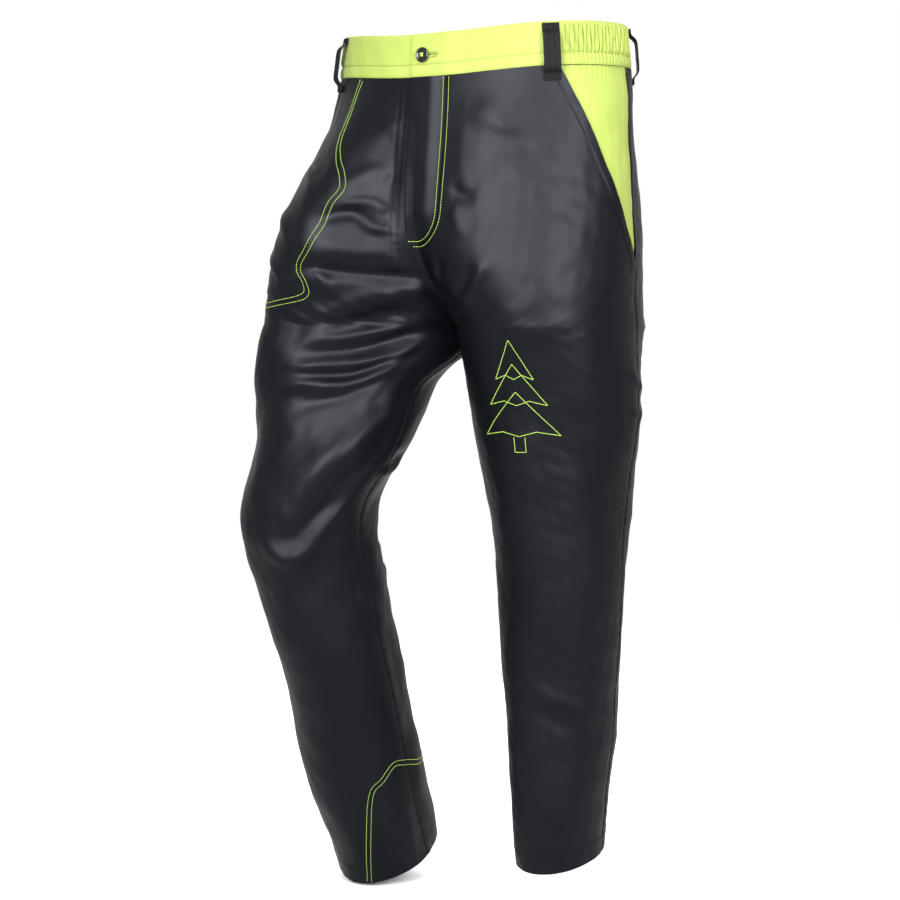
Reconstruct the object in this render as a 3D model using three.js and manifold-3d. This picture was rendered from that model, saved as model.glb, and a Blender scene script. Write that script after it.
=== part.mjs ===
// Chainsaw protection trousers, worn shape, right knee bent. Millimetres, +Z up, wearer faces -Y, wearer's left is +X.
// The origin is the centre of the waist opening at the level of the band's top edge.
import * as THREE from "three";
import { mergeVertices } from "three/addons/utils/BufferGeometryUtils.js";
import Module from "manifold-3d";

const wasm = await Module();
wasm.setup();

// ---- driving sizes ----
const RISE = 352; // band top down to the crotch
const LEFT_LEG = 652; // crotch down to the left hem
const RIGHT_LEG = 684; // crotch down to the right hem, along Z
const WAIST_HALF_WIDTH = 192;
const WAIST_HALF_DEPTH = 124;
const FRONT_DIP = 12; // how far the band drops at the centre front
const BAND_HEIGHT = 50;
const BAND_THICK = 2.4;
const CLOTH = 1.2; // outer cloth
const THIN_CLOTH = 0.6; // lining and zip tape
const GAP = 0.3; // air between sewn pieces
const PLY = 1.4; // one pad ply
const PLIES = 3;
const POCKET_DEPTH = 6.7; // how far the pocket's back wall stands inside the front cloth
const LOOP_WIDTH = 20;
const LOOP_HEIGHT = 66;
const LOOP_STAND = 7; // clear room for a belt
const LOOP_THICK = 2;
const BUTTON_RADIUS = 8.75;
const BUTTON_THICK = 3;
const ZIP_LENGTH = 148;
const TOOTH_PITCH = 6;
const PULL_LENGTH = 22;
const HEM_HEIGHT = 24;

// ---- where the pieces meet, as shares of the way round one half (0 centre front, 1 centre back) ----
const SIDE_SEAM = 0.54;
const FRONT_LOOP = 0.283;
const BACK_LOOP = 0.645;
const BAND_BACK = 0.62;
const FLY_STITCH = 0.056;
const FLY_EDGE = -0.0215;
const POCKET_TOP = 0.3;
const SEAM_GAP = 0.0004;

// ---- shape tables: share of the length, then sizes in millimetres ----
// torso: half width, half depth, centre y
const TORSO = [
  [0, 0, 0, -6],
  [0.148, 5, 2, -6],
  [0.341, 10, 7, -6],
  [0.568, 15, 15, -6],
  [0.753, 17, 16, -9],
  [1, 19, 2, -12],
];
// legs: centre x, half width, centre y, half depth, tilt of the section in degrees
const LEFT_KNOTS = [
  [0, 105.5, 105.5, -12, 126, 0],
  [0.135, 107, 103, -9, 106, 2],
  [0.365, 113, 84, -5, 90, 5],
  [0.672, 113, 68, 2, 78, 8],
  [0.887, 112, 58, 2, 70, 11],
  [1, 111, 53, 2, 66, 12],
];
const RIGHT_KNOTS = [
  [0, 121, 105.5, -46, 126, 0],
  [0.129, 141, 101, -94, 109, 3],
  [0.216, 142, 98, -124, 100, 4],
  [0.319, 155, 82, -153, 92, 6],
  [0.494, 153, 72, -129, 84, 17],
  [0.684, 147, 70, -91, 80, 19],
  [0.86, 145, 68, -55, 76, 22],
  [1, 144, 66, -20, 74, 24],
];
const HIP_FORWARD = 44; // extra fullness on the bent leg's hip
const HIP_OUT = 9;
const CROTCH_CURVE = 5; // the higher, the squarer the rise curve

function smooth(value) {
  const t = Math.min(1, Math.max(0, value));
  return t * t * (3 - 2 * t);
}

function lerp(a, b, t) {
  return a + (b - a) * t;
}

// Smooth curve through the rows of a table, read at the given share of the length.
function readTable(table, column, share) {
  const at = Math.min(table[table.length - 1][0], Math.max(table[0][0], share));
  let i = 0;
  while (i < table.length - 2 && at > table[i + 1][0]) i += 1;
  const slope = (k) => (table[k + 1][column] - table[k][column]) / (table[k + 1][0] - table[k][0]);
  const tangent = (k) => {
    if (k === 0) return slope(0);
    if (k === table.length - 1) return slope(k - 1);
    const before = table[k][0] - table[k - 1][0];
    const after = table[k + 1][0] - table[k][0];
    return (slope(k - 1) * after + slope(k) * before) / (before + after);
  };
  const h = table[i + 1][0] - table[i][0];
  const t = (at - table[i][0]) / h;
  return (
    table[i][column] * (1 + 2 * t) * (1 - t) ** 2 +
    tangent(i) * h * t * (1 - t) ** 2 +
    table[i + 1][column] * t * t * (3 - 2 * t) +
    tangent(i + 1) * h * t * t * (t - 1)
  );
}

// ---- the trouser surface: two halves that share the middle plane down to the crotch, then two legs ----
function surfacePoint(side, u, z) {
  const rise = Math.min(1, Math.max(0, -z / RISE));
  const below = Math.max(0, -z - RISE) / (side > 0 ? LEFT_LEG : RIGHT_LEG);
  const knots = side > 0 ? LEFT_KNOTS : RIGHT_KNOTS;
  const reach = WAIST_HALF_WIDTH + readTable(TORSO, 1, rise);
  const share = rise ** CROTCH_CURVE * (1 + 3 * (1 - rise));
  let centreX = (reach * share) / (1 + share);
  let halfWidth = reach / (1 + share);
  let centreY = readTable(TORSO, 3, rise);
  let halfDepth = WAIST_HALF_DEPTH + readTable(TORSO, 2, rise);
  let spread = Math.acos(-share);
  let tilt = 0;
  let moveX = 0;
  let moveY = 0;
  const wide = smooth((1 - Math.abs(2 * u - 1)) / 0.35);
  if (below > 0) {
    const widthScale = reach / 2 / knots[0][2];
    const depthScale = halfDepth / knots[0][4];
    const keep = 1 - smooth(below / 0.3);
    halfWidth = readTable(knots, 2, below) * lerp(1, widthScale, keep);
    halfDepth = readTable(knots, 4, below) * lerp(1, depthScale, keep);
    centreX = halfWidth;
    spread = Math.PI;
    tilt = THREE.MathUtils.degToRad(readTable(knots, 5, below));
    moveX = readTable(knots, 1, below) - readTable(knots, 2, below);
    moveY = readTable(knots, 3, below) - centreY;
    if (side < 0) {
      const all = smooth(below / 0.12);
      moveX *= wide + (1 - wide) * all;
      moveY *= wide + (1 - wide) * all;
    }
  } else if (side < 0) {
    const grow = smooth(rise) * wide;
    moveX = (knots[0][1] - knots[0][2]) * grow;
    moveY = (knots[0][3] - centreY) * grow;
  }
  const theta = (2 * u - 1) * spread;
  if (side < 0) {
    const full = smooth((rise - 0.17) / 0.55) * (1 - smooth((-z - RISE) / 150));
    const hip = full * wide * Math.exp(-(((theta + 0.95) / 0.75) ** 2));
    moveX += HIP_OUT * hip;
    moveY -= HIP_FORWARD * hip;
  }
  const swing = halfDepth * Math.sin(theta);
  const dip = FRONT_DIP * Math.exp(-((u / 0.22) ** 2)) * smooth((z + 150) / 100);
  return new THREE.Vector3(
    side * (centreX + moveX + halfWidth * Math.cos(theta)),
    centreY + moveY + swing * Math.cos(tilt),
    z + swing * Math.sin(tilt) - dip,
  );
}

function surfaceNormal(side, u, z) {
  const du = 0.002;
  const dz = 1.5;
  const hem = -RISE - (side > 0 ? LEFT_LEG : RIGHT_LEG);
  const u0 = Math.max(0, u - du);
  const u1 = Math.min(1, u + du);
  const z0 = Math.max(hem, z - dz);
  const z1 = Math.min(0, z + dz);
  const across = surfacePoint(side, u1, z).sub(surfacePoint(side, u0, z));
  const up = surfacePoint(side, u, z1).sub(surfacePoint(side, u, z0));
  return across.cross(up).multiplyScalar(side).normalize();
}

// ---- one lattice for every layer, so that nested layers stay parallel ----
const LATTICE_U = [
  0, FLY_STITCH, 0.11, 0.17, 0.2265, FRONT_LOOP, 0.345, 0.41, 0.475, SIDE_SEAM,
  0.6, 0.66, 0.72, 0.78, 0.84, 0.9, 0.95, 1,
];
const TORSO_SHARES = [0.262, 0.372, 0.486, 0.6, 0.72, 0.82, 0.9, 0.96, 1];
const LEG_SHARES = [0.05, 0.12, 0.21, 0.31, 0.41, 0.52, 0.63, 0.74, 0.85, 0.95, 1];

function latticeLevels(side) {
  const leg = side > 0 ? LEFT_LEG : RIGHT_LEG;
  const torso = TORSO_SHARES.map((share) => -RISE * share);
  const lower = LEG_SHARES.map((share) => -RISE - leg * share);
  return [0, -BAND_HEIGHT / 2, -BAND_HEIGHT, ...torso, ...lower];
}

const lattices = new Map();
for (const side of [1, -1]) {
  const levels = latticeLevels(side);
  const rows = levels.map((z) =>
    LATTICE_U.map((u) => ({ point: surfacePoint(side, u, z), normal: surfaceNormal(side, u, z) })),
  );
  lattices.set(side, { levels, rows });
}

function cellOf(stations, value, falling) {
  let i = 0;
  const past = (k) => (falling ? value < stations[k] : value > stations[k]);
  while (i < stations.length - 2 && past(i + 1)) i += 1;
  return [i, (value - stations[i]) / (stations[i + 1] - stations[i])];
}

// A point of the faceted surface at signed share s (positive is the left half), moved out along the normal.
function onSurface(s, z, offset, joined = false) {
  let round = s;
  if (round > 1) round -= 2;
  if (round < -1) round += 2;
  const side = s > 1 ? -1 : s < -1 ? 1 : s < 0 ? -1 : 1;
  return onHalf(side, Math.abs(round), z, offset, joined);
}

function onHalf(side, u, z, offset, joined = false) {
  const { levels, rows } = lattices.get(side);
  const [i, a] = cellOf(LATTICE_U, u, false);
  const [j, b] = cellOf(levels, z, true);
  const corner = (dj, di) => {
    const { point, normal } = rows[j + dj][i + di];
    const n = normal.clone();
    const middle = LATTICE_U[i + di] === 0 || LATTICE_U[i + di] === 1;
    if (joined && middle) n.setX(0).normalize();
    return point.clone().addScaledVector(n, offset);
  };
  const top = corner(0, 0).lerp(corner(0, 1), a);
  const bottom = corner(1, 0).lerp(corner(1, 1), a);
  return top.lerp(bottom, b);
}

// ---- solids ----
function signedVolume(points, faces) {
  let total = 0;
  for (const [a, b, c] of faces) total += points[a].dot(points[b].clone().cross(points[c])) / 6;
  return total;
}

function solidFrom(points, faces) {
  const turned = signedVolume(points, faces) < 0 ? faces.map(([a, b, c]) => [a, c, b]) : faces;
  return new wasm.Manifold(
    new wasm.Mesh({
      numProp: 3,
      vertProperties: new Float32Array(points.flatMap((p) => [p.x, p.y, p.z])),
      triVerts: new Uint32Array(turned.flat()),
    }),
  );
}

// A closed sheet between an outer and an inner grid of points.
function sheet(rows, columns, outer, inner) {
  const points = [];
  const across = columns + 1;
  const count = (rows + 1) * across;
  for (const place of [outer, inner]) {
    for (let j = 0; j <= rows; j += 1) {
      for (let i = 0; i <= columns; i += 1) points.push(place(i, j));
    }
  }
  const faces = [];
  const quad = (a, b, c, d) => faces.push([a, b, c], [a, c, d]);
  const at = (i, j) => j * across + i;
  for (let j = 0; j < rows; j += 1) {
    for (let i = 0; i < columns; i += 1) {
      quad(at(i, j), at(i, j + 1), at(i + 1, j + 1), at(i + 1, j));
      quad(count + at(i, j), count + at(i + 1, j), count + at(i + 1, j + 1), count + at(i, j + 1));
    }
  }
  for (let i = 0; i < columns; i += 1) {
    quad(at(i, 0), at(i + 1, 0), count + at(i + 1, 0), count + at(i, 0));
    quad(at(i + 1, rows), at(i, rows), count + at(i, rows), count + at(i + 1, rows));
  }
  for (let j = 0; j < rows; j += 1) {
    quad(at(0, j + 1), at(0, j), count + at(0, j), count + at(0, j + 1));
    quad(at(columns, j), at(columns, j + 1), count + at(columns, j + 1), count + at(columns, j));
  }
  return solidFrom(points, faces);
}

function between(stations, low, high) {
  const inside = stations.filter((value) => value > low + 1e-3 && value < high - 1e-3);
  return [low, ...inside, high];
}

// A layer over part of one half: from u0 to u1 round it and from zTop down to zBottom.
function layer(side, u0, u1, zTop, zBottom, outerOffset, innerOffset, moreU = [], moreZ = []) {
  const rising = (a, b) => a - b;
  const us = between([...LATTICE_U, ...moreU].sort(rising), u0, u1);
  const zs = between([...lattices.get(side).levels, ...moreZ].sort(rising), zBottom, zTop).reverse();
  const place = (offset) => (i, j) => onHalf(side, us[i], zs[j], offset(us[i], zs[j]));
  return sheet(zs.length - 1, us.length - 1, place(outerOffset), place(innerOffset));
}

// A strip that may cross the centre front or the centre back, over signed shares s.
function strip(shares, zs, outerOffset, innerOffset) {
  const place = (offset) => (i, j) => onSurface(shares[i], zs[j], offset(shares[i], zs[j]), true);
  return sheet(zs.length - 1, shares.length - 1, place(outerOffset), place(innerOffset));
}

function always(value) {
  return () => value;
}

// An outline in a local plane, pushed out symmetrically along the third direction.
function prism(outline, thickness, frame) {
  const shape = outline.map(([a, b]) => new THREE.Vector2(a, b));
  if (THREE.ShapeUtils.isClockWise(shape)) shape.reverse();
  const caps = THREE.ShapeUtils.triangulateShape(shape, []);
  const count = shape.length;
  const points = [];
  for (const w of [-thickness / 2, thickness / 2]) {
    for (const { x, y } of shape) points.push(new THREE.Vector3(x, y, w).applyMatrix4(frame));
  }
  const faces = [];
  for (const [a, b, c] of caps) {
    faces.push([a, c, b]);
    faces.push([count + a, count + b, count + c]);
  }
  for (let k = 0; k < count; k += 1) {
    const next = (k + 1) % count;
    faces.push([k, next, count + next], [k, count + next, count + k]);
  }
  return solidFrom(points, faces);
}

function frameFrom(origin, axisA, axisB) {
  const a = axisA.clone().normalize();
  const b = axisB.clone().addScaledVector(a, -axisB.dot(a)).normalize();
  const c = a.clone().cross(b);
  return new THREE.Matrix4().makeBasis(a, b, c).setPosition(origin);
}

function placed(solid, frame) {
  return solid.transform(frame.elements);
}

// A three.js geometry as a solid, with its shared corners merged and its empty faces left out.
function solidOf(geometry) {
  const plain = geometry.clone();
  plain.deleteAttribute("normal");
  plain.deleteAttribute("uv");
  const merged = mergeVertices(plain, 1e-4);
  const corners = merged.index.array;
  const faces = [];
  for (let k = 0; k < corners.length; k += 3) {
    const [a, b, c] = [corners[k], corners[k + 1], corners[k + 2]];
    if (a !== b && b !== c && c !== a) faces.push(a, b, c);
  }
  return new wasm.Manifold(
    new wasm.Mesh({
      numProp: 3,
      vertProperties: new Float32Array(merged.attributes.position.array),
      triVerts: new Uint32Array(faces),
    }),
  );
}

function boxSolid(sizeX, sizeY, sizeZ, x, y, z) {
  return solidOf(new THREE.BoxGeometry(sizeX, sizeY, sizeZ).translate(x, y, z));
}

function rodSolid(radius, from, to, segments = 10) {
  const start = new THREE.Vector3(...from);
  const end = new THREE.Vector3(...to);
  const length = start.distanceTo(end);
  const rod = new THREE.CylinderGeometry(radius, radius, length, segments);
  rod.rotateX(Math.PI / 2).translate(0, 0, length / 2);
  const turn = new THREE.Quaternion().setFromUnitVectors(
    new THREE.Vector3(0, 0, 1),
    end.clone().sub(start).normalize(),
  );
  return solidOf(rod.applyMatrix4(new THREE.Matrix4().compose(start, turn, new THREE.Vector3(1, 1, 1))));
}

// ---- materials ----
function fabric(colour, roughness) {
  return new THREE.MeshStandardMaterial({ color: colour, roughness, metalness: 0 });
}

const materials = {
  satin: fabric(0x1c1e21, 0.55),
  yellow: fabric(0xdcfa6e, 0.7),
  loop: fabric(0x17181a, 0.8),
  lining: fabric(0x3a3d40, 0.85),
  pad: fabric(0xe8e4d6, 0.9),
  elastic: fabric(0xf2f2ee, 0.85),
  pocket: fabric(0x2a2c2e, 0.85),
  tape: fabric(0x141516, 0.8),
  thread: fabric(0xaad25a, 0.6),
  brass: new THREE.MeshStandardMaterial({ color: 0xb08d4a, roughness: 0.35, metalness: 1 }),
  button: new THREE.MeshStandardMaterial({ color: 0x0b0b0c, roughness: 0.2, metalness: 0 }),
};

const trousers = new THREE.Group();
trousers.name = "chainsaw_trousers";

function add(name, solid, material) {
  const raw = solid.getMesh();
  const geometry = new THREE.BufferGeometry();
  const positions = new Float32Array(raw.numVert * 3);
  for (let i = 0; i < raw.numVert; i += 1) {
    positions.set(raw.vertProperties.subarray(i * raw.numProp, i * raw.numProp + 3), i * 3);
  }
  geometry.setAttribute("position", new THREE.BufferAttribute(positions, 3));
  geometry.setIndex(new THREE.BufferAttribute(new Uint32Array(raw.triVerts), 1));
  geometry.computeVertexNormals();
  const mesh = new THREE.Mesh(geometry, materials[material]);
  mesh.name = name;
  trousers.add(mesh);
}

const sides = [
  [1, "left"],
  [-1, "right"],
];

// ---- levels ----
const SHELL_TOP = -BAND_HEIGHT - GAP;
const FLY_TOP = SHELL_TOP - 3;
const FLY_BOTTOM = -RISE * 0.73;
const FLY_ROUND = 36;
const POCKET_LOW = -RISE * 0.8;
const ZIP_TOP = FLY_TOP - 3;

// ---- zip frame: straight down the centre front, a = across (+X), b = down, c = inward ----
const zipStart = onSurface(0, ZIP_TOP, 0, true);
const zipEnd = onSurface(0, ZIP_TOP - ZIP_LENGTH, 0, true);
const zipFrame = frameFrom(zipStart, new THREE.Vector3(1, 0, 0), zipEnd.clone().sub(zipStart));
const TAPE_IN = 2.7;
const TOOTH_THICK = 2.6;
const FLY_RAISE = 4.4;

// ---- shell panels ----
function torsoLevels(zTop, zBottom) {
  const levels = lattices.get(1).levels.slice().reverse();
  return between(levels, zBottom, zTop).reverse();
}

function flyLevels(zTop) {
  const zs = torsoLevels(zTop, FLY_BOTTOM + FLY_ROUND);
  for (let k = 1; k <= 5; k += 1) zs.push(FLY_BOTTOM + FLY_ROUND * (1 - Math.sin((k * Math.PI) / 10)));
  return zs;
}

function flyLimit(z) {
  const t = Math.min(1, Math.max(0, (FLY_BOTTOM + FLY_ROUND - z) / FLY_ROUND));
  return FLY_STITCH * Math.sqrt(Math.max(0, 1 - t * t * 0.96));
}

function flyGrid(zs, fromShare, inset, outerOffset, innerOffset) {
  const parts = [0, 0.25, 0.4, 0.55, 0.7, 0.85, 1];
  const place = (offset) => (i, j) => {
    const z = zs[j];
    const s = i < 0 ? fromShare : (flyLimit(z) - inset) * parts[i];
    return onSurface(s, z, offset(s, z), true);
  };
  const shifted = (offset) => (i, j) => place(offset)(i - 1, j);
  return sheet(zs.length - 1, parts.length, shifted(outerOffset), shifted(innerOffset));
}

const slantHigh = onHalf(1, POCKET_TOP, SHELL_TOP, 0);
const slantLow = onHalf(1, SIDE_SEAM, POCKET_LOW, 0);
const slantOut = surfaceNormal(1, (POCKET_TOP + SIDE_SEAM) / 2, (SHELL_TOP + POCKET_LOW) / 2);

function slantPlane(side, shift) {
  const along = slantLow.clone().sub(slantHigh);
  const normal = along.clone().cross(slantOut).normalize();
  const point = slantHigh.clone();
  if (side < 0) {
    normal.x = -normal.x;
    point.x = -point.x;
  }
  const front = new THREE.Vector3(0, -WAIST_HALF_DEPTH, POCKET_LOW);
  if (normal.dot(front.clone().sub(point)) < 0) normal.negate();
  return [normal.toArray(), normal.dot(point) + shift];
}

function halfPlane(solid, side) {
  return solid.trimByPlane([side, 0, 0], GAP / 2);
}

const hemLevel = { 1: -RISE - LEFT_LEG, "-1": -RISE - RIGHT_LEG };

for (const [side, word] of sides) {
  const hem = hemLevel[side];
  const front = layer(side, SEAM_GAP, SIDE_SEAM - SEAM_GAP, SHELL_TOP, hem, always(0), always(-CLOTH));
  const back = layer(side, SIDE_SEAM + SEAM_GAP, 1 - SEAM_GAP, SHELL_TOP, hem, always(0), always(-CLOTH));
  const aboveMouth = front.trimByPlane(...slantPlane(side, 0));
  const lower = front.trimByPlane([0, 0, -1], -POCKET_LOW - 0.01);
  const upper = aboveMouth.trimByPlane([0, 0, 1], POCKET_LOW - 0.02);
  let whole = halfPlane(upper.add(lower), side);
  if (side > 0) {
    const notch = flyGrid(flyLevels(-BAND_HEIGHT + 8), -0.02, 0, always(4), always(-4));
    whole = whole.subtract(notch);
  } else {
    const zs = torsoLevels(-BAND_HEIGHT + 8, ZIP_TOP - ZIP_LENGTH - 16);
    const notch = strip([-0.0165, 0.01], zs, always(4), always(-4));
    whole = whole.subtract(notch);
  }
  add("front_panel_" + word, whole, "satin");
  add("back_panel_" + word, halfPlane(back, side), "satin");
  const hemFacing = layer(
    side,
    SEAM_GAP,
    1 - SEAM_GAP,
    hem + HEM_HEIGHT,
    hem + 1,
    always(-CLOTH - GAP),
    always(-2 * CLOTH - GAP),
  );
  add("hem_facing_" + word, hemFacing, "satin");
}

// ---- fly ----
function flyRise(s) {
  return FLY_RAISE * (1 - smooth((s - 0.022) / 0.032));
}

const flap = flyGrid(
  flyLevels(FLY_TOP).map((z) => Math.max(z, FLY_BOTTOM + 0.6)),
  FLY_EDGE,
  0.0012,
  flyRise,
  (s) => flyRise(s) - CLOTH,
);
add("fly_flap", flap, "satin");

const FACING_DEEP = 6.8;
const facingOut = (s) => -CLOTH - GAP - (FACING_DEEP - CLOTH - GAP) * (1 - smooth((s - 0.03) / 0.026));
const facingLevels = torsoLevels(ZIP_TOP, FLY_BOTTOM + 12);
add(
  "fly_facing",
  strip([0.0145, 0.03, 0.043, FLY_STITCH, 0.07], facingLevels, facingOut, (s) => facingOut(s) - 0.9),
  "satin",
);
const SHIELD_DEEP = 10.5;
const shieldOut = (s) => -CLOTH - GAP - (SHIELD_DEEP - CLOTH - GAP) * smooth((s + 0.07) / 0.03);
add(
  "fly_shield",
  strip([-0.08, -0.07, -FLY_STITCH, -0.04, 0, 0.034], facingLevels, shieldOut, (s) => shieldOut(s) - 0.9),
  "satin",
);

// ---- zip ----
const TAPE_REACH = 18;
const RAIL_IN = 0.9;
const RAIL_OUT = 3.9;
const zipPart = (sizeA, sizeB, sizeC, a, b, c) => placed(boxSolid(sizeA, sizeB, sizeC, a, b, c), zipFrame);
for (const [side, word] of sides) {
  const tapeWidth = TAPE_REACH - RAIL_OUT - GAP;
  const tapeMiddle = side * (RAIL_OUT + GAP + tapeWidth / 2);
  add(
    "zip_tape_" + word,
    zipPart(tapeWidth, ZIP_LENGTH + 4, THIN_CLOTH, tapeMiddle, ZIP_LENGTH / 2, TAPE_IN),
    "tape",
  );
  const outline = [[side * RAIL_OUT, 2]];
  outline.push([side * RAIL_OUT, ZIP_LENGTH]);
  const teeth = Math.floor((ZIP_LENGTH - 4) / TOOTH_PITCH);
  for (let k = teeth - 1; k >= 0; k -= 1) {
    const low = 2 + TOOTH_PITCH * (k + 0.8);
    const high = 2 + TOOTH_PITCH * (k + 0.25);
    outline.push([side * (RAIL_IN + 1.3), low], [side * RAIL_IN, low]);
    outline.push([side * RAIL_IN, high], [side * (RAIL_IN + 1.3), high]);
  }
  outline.push([side * (RAIL_IN + 1.3), 2]);
  const turned = zipFrame.clone().multiply(new THREE.Matrix4().makeTranslation(0, 0, TAPE_IN));
  add("zip_teeth_" + word, prism(outline, TOOTH_THICK, turned), "brass");
}
const frontPlate = TAPE_IN - TOOTH_THICK / 2 - GAP - 0.45;
const backPlate = TAPE_IN + TOOTH_THICK / 2 + GAP + 0.45;
const SLIDER_AT = 9;
const slider = zipPart(11, 12, 0.9, 0, SLIDER_AT, frontPlate)
  .add(zipPart(11, 12, 0.9, 0, SLIDER_AT, backPlate))
  .add(zipPart(1.1, 6, backPlate - frontPlate, 0, SLIDER_AT - 2.5, TAPE_IN))
  .add(placed(rodSolid(1, [0, SLIDER_AT, frontPlate], [0, SLIDER_AT, frontPlate - 2.15], 16), zipFrame))
  .add(placed(rodSolid(2.1, [0, SLIDER_AT, frontPlate - 2.1], [0, SLIDER_AT, frontPlate - 2.7], 16), zipFrame));
add("zip_slider", slider, "brass");
const pullPlate = frontPlate - 1.25;
const pull = zipPart(6, PULL_LENGTH, 0.9, 0, SLIDER_AT + PULL_LENGTH / 2 - 3, pullPlate)
  .subtract(placed(rodSolid(1.35, [0, SLIDER_AT, 5], [0, SLIDER_AT, -9], 16), zipFrame))
  .subtract(zipPart(2.4, 7, 4, 0, SLIDER_AT + PULL_LENGTH - 9.5, pullPlate));
add("zip_pull", pull, "brass");
add("zip_stop_bottom", zipPart(9, 3, TOOTH_THICK, 0, ZIP_LENGTH + 2, TAPE_IN - THIN_CLOTH / 2 - GAP - TOOTH_THICK / 2), "brass");
for (const [side, word] of sides) {
  add("zip_stop_top_" + word, zipPart(3, 1.6, 1.4, side * 2.4, 0.6, TAPE_IN), "brass");
}

// ---- waistband ----
const BAND_RAISE = BAND_THICK + GAP;
const bandLevels = [0, -BAND_HEIGHT / 2, -BAND_HEIGHT];
const bandRaise = (s) => BAND_RAISE * (1 - smooth((s - 0.052) / 0.05));
const bandRight = [-FRONT_LOOP, -0.2265, -0.17, -0.11, -FLY_STITCH, 0, 0.0465];
add("waistband_front_right", strip(bandRight, bandLevels, always(0), always(-BAND_THICK)), "yellow");
const bandLeft = [FLY_EDGE, 0, 0.028, 0.052, FLY_STITCH, 0.07, 0.085, 0.102, 0.11, 0.17, 0.2265, FRONT_LOOP];
const leftBand = strip(bandLeft, bandLevels, bandRaise, (s) => bandRaise(s) - BAND_THICK);

// ---- button, on a frame with a = across, b = down, c = inward ----
const BUTTON_SHARE = 0.0066;
const buttonRoot = onSurface(BUTTON_SHARE, -BAND_HEIGHT / 2, 0, true);
const bandDown = onSurface(BUTTON_SHARE, -BAND_HEIGHT, 0, true).sub(onSurface(BUTTON_SHARE, 0, 0, true));
const bandAcross = onSurface(0.03, -BAND_HEIGHT / 2, 0, true).sub(onSurface(0, -BAND_HEIGHT / 2, 0, true));
const buttonFrame = frameFrom(buttonRoot, bandAcross, bandDown);
const buttonHole = placed(boxSolid(19, 3.6, 14, 6.8, 0, 0), buttonFrame);
const holeOnly = buttonHole.intersect(
  strip([FLY_EDGE, 0, 0.028, 0.06], bandLevels, always(9), always(0.05)),
);
add("waistband_front_left", leftBand.subtract(holeOnly), "yellow");

const buttonBack = BAND_RAISE + 1.8;
const buttonProfile = [
  [0, 0],
  [BUTTON_RADIUS - 1.6, 0],
  [BUTTON_RADIUS, 1.1],
  [BUTTON_RADIUS - 0.4, BUTTON_THICK - 0.4],
  [BUTTON_RADIUS - 1.3, BUTTON_THICK],
  [BUTTON_RADIUS - 3, BUTTON_THICK - 0.9],
  [0, BUTTON_THICK - 0.9],
];
const buttonCurve = buttonProfile.map(([radius, height]) => new THREE.Vector2(radius, height));
const buttonRound = solidOf(new THREE.LatheGeometry(buttonCurve, 28).rotateX(Math.PI / 2));
const toButton = buttonFrame
  .clone()
  .multiply(new THREE.Matrix4().makeRotationX(Math.PI))
  .multiply(new THREE.Matrix4().makeTranslation(0, 0, buttonBack));
const EYE = 1.7;
const EYE_RADIUS = 1;
let button = buttonRound;
for (const [x, y] of [[EYE, EYE], [EYE, -EYE], [-EYE, EYE], [-EYE, -EYE]]) {
  button = button.subtract(rodSolid(EYE_RADIUS, [x, y, -2], [x, y, BUTTON_THICK + 2]));
}
add("waist_button", placed(button, toButton), "button");
const STRAND = 0.5;
let thread = rodSolid(1.1, [0, 0, -buttonBack + GAP], [0, 0, -0.9], 12);
thread = thread.add(boxSolid(2 * EYE + 1.2, 2 * EYE + 1.2, 0.7, 0, 0, -0.9));
for (const x of [EYE, -EYE]) {
  for (const y of [EYE, -EYE]) {
    thread = thread.add(rodSolid(STRAND, [x, y, -1], [x, y, BUTTON_THICK + 0.2], 8));
  }
  thread = thread.add(rodSolid(STRAND, [x, -EYE - 0.3, BUTTON_THICK + 0.1], [x, EYE + 0.3, BUTTON_THICK + 0.1], 8));
}
add("button_thread", placed(thread, toButton), "thread");

const bandSideShares = [FRONT_LOOP + SEAM_GAP, 0.345, 0.41, 0.475, SIDE_SEAM, 0.6, BAND_BACK - SEAM_GAP];
const elasticShares = [0.3, 0.345, 0.41, 0.475, SIDE_SEAM, 0.6];
for (const [side, word] of sides) {
  const shares = bandSideShares.map((share) => side * share);
  add("waistband_side_" + word, strip(shares, bandLevels, always(0), always(-BAND_THICK)), "yellow");
  const elastic = strip(
    elasticShares.map((share) => side * share),
    [-8, -BAND_HEIGHT / 2, -BAND_HEIGHT + 8],
    always(-BAND_THICK - GAP),
    always(-BAND_THICK - GAP - 1.4),
  );
  add("waist_elastic_" + word, elastic, "elastic");
}
const bandBack = [BAND_BACK + SEAM_GAP, 0.66, 0.72, 0.78, 0.84, 0.9, 0.95];
const bandBackShares = [...bandBack, 1, ...bandBack.map((share) => 2 - share).reverse()];
add("waistband_back", strip(bandBackShares, bandLevels, always(0), always(-BAND_THICK)), "yellow");

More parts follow.
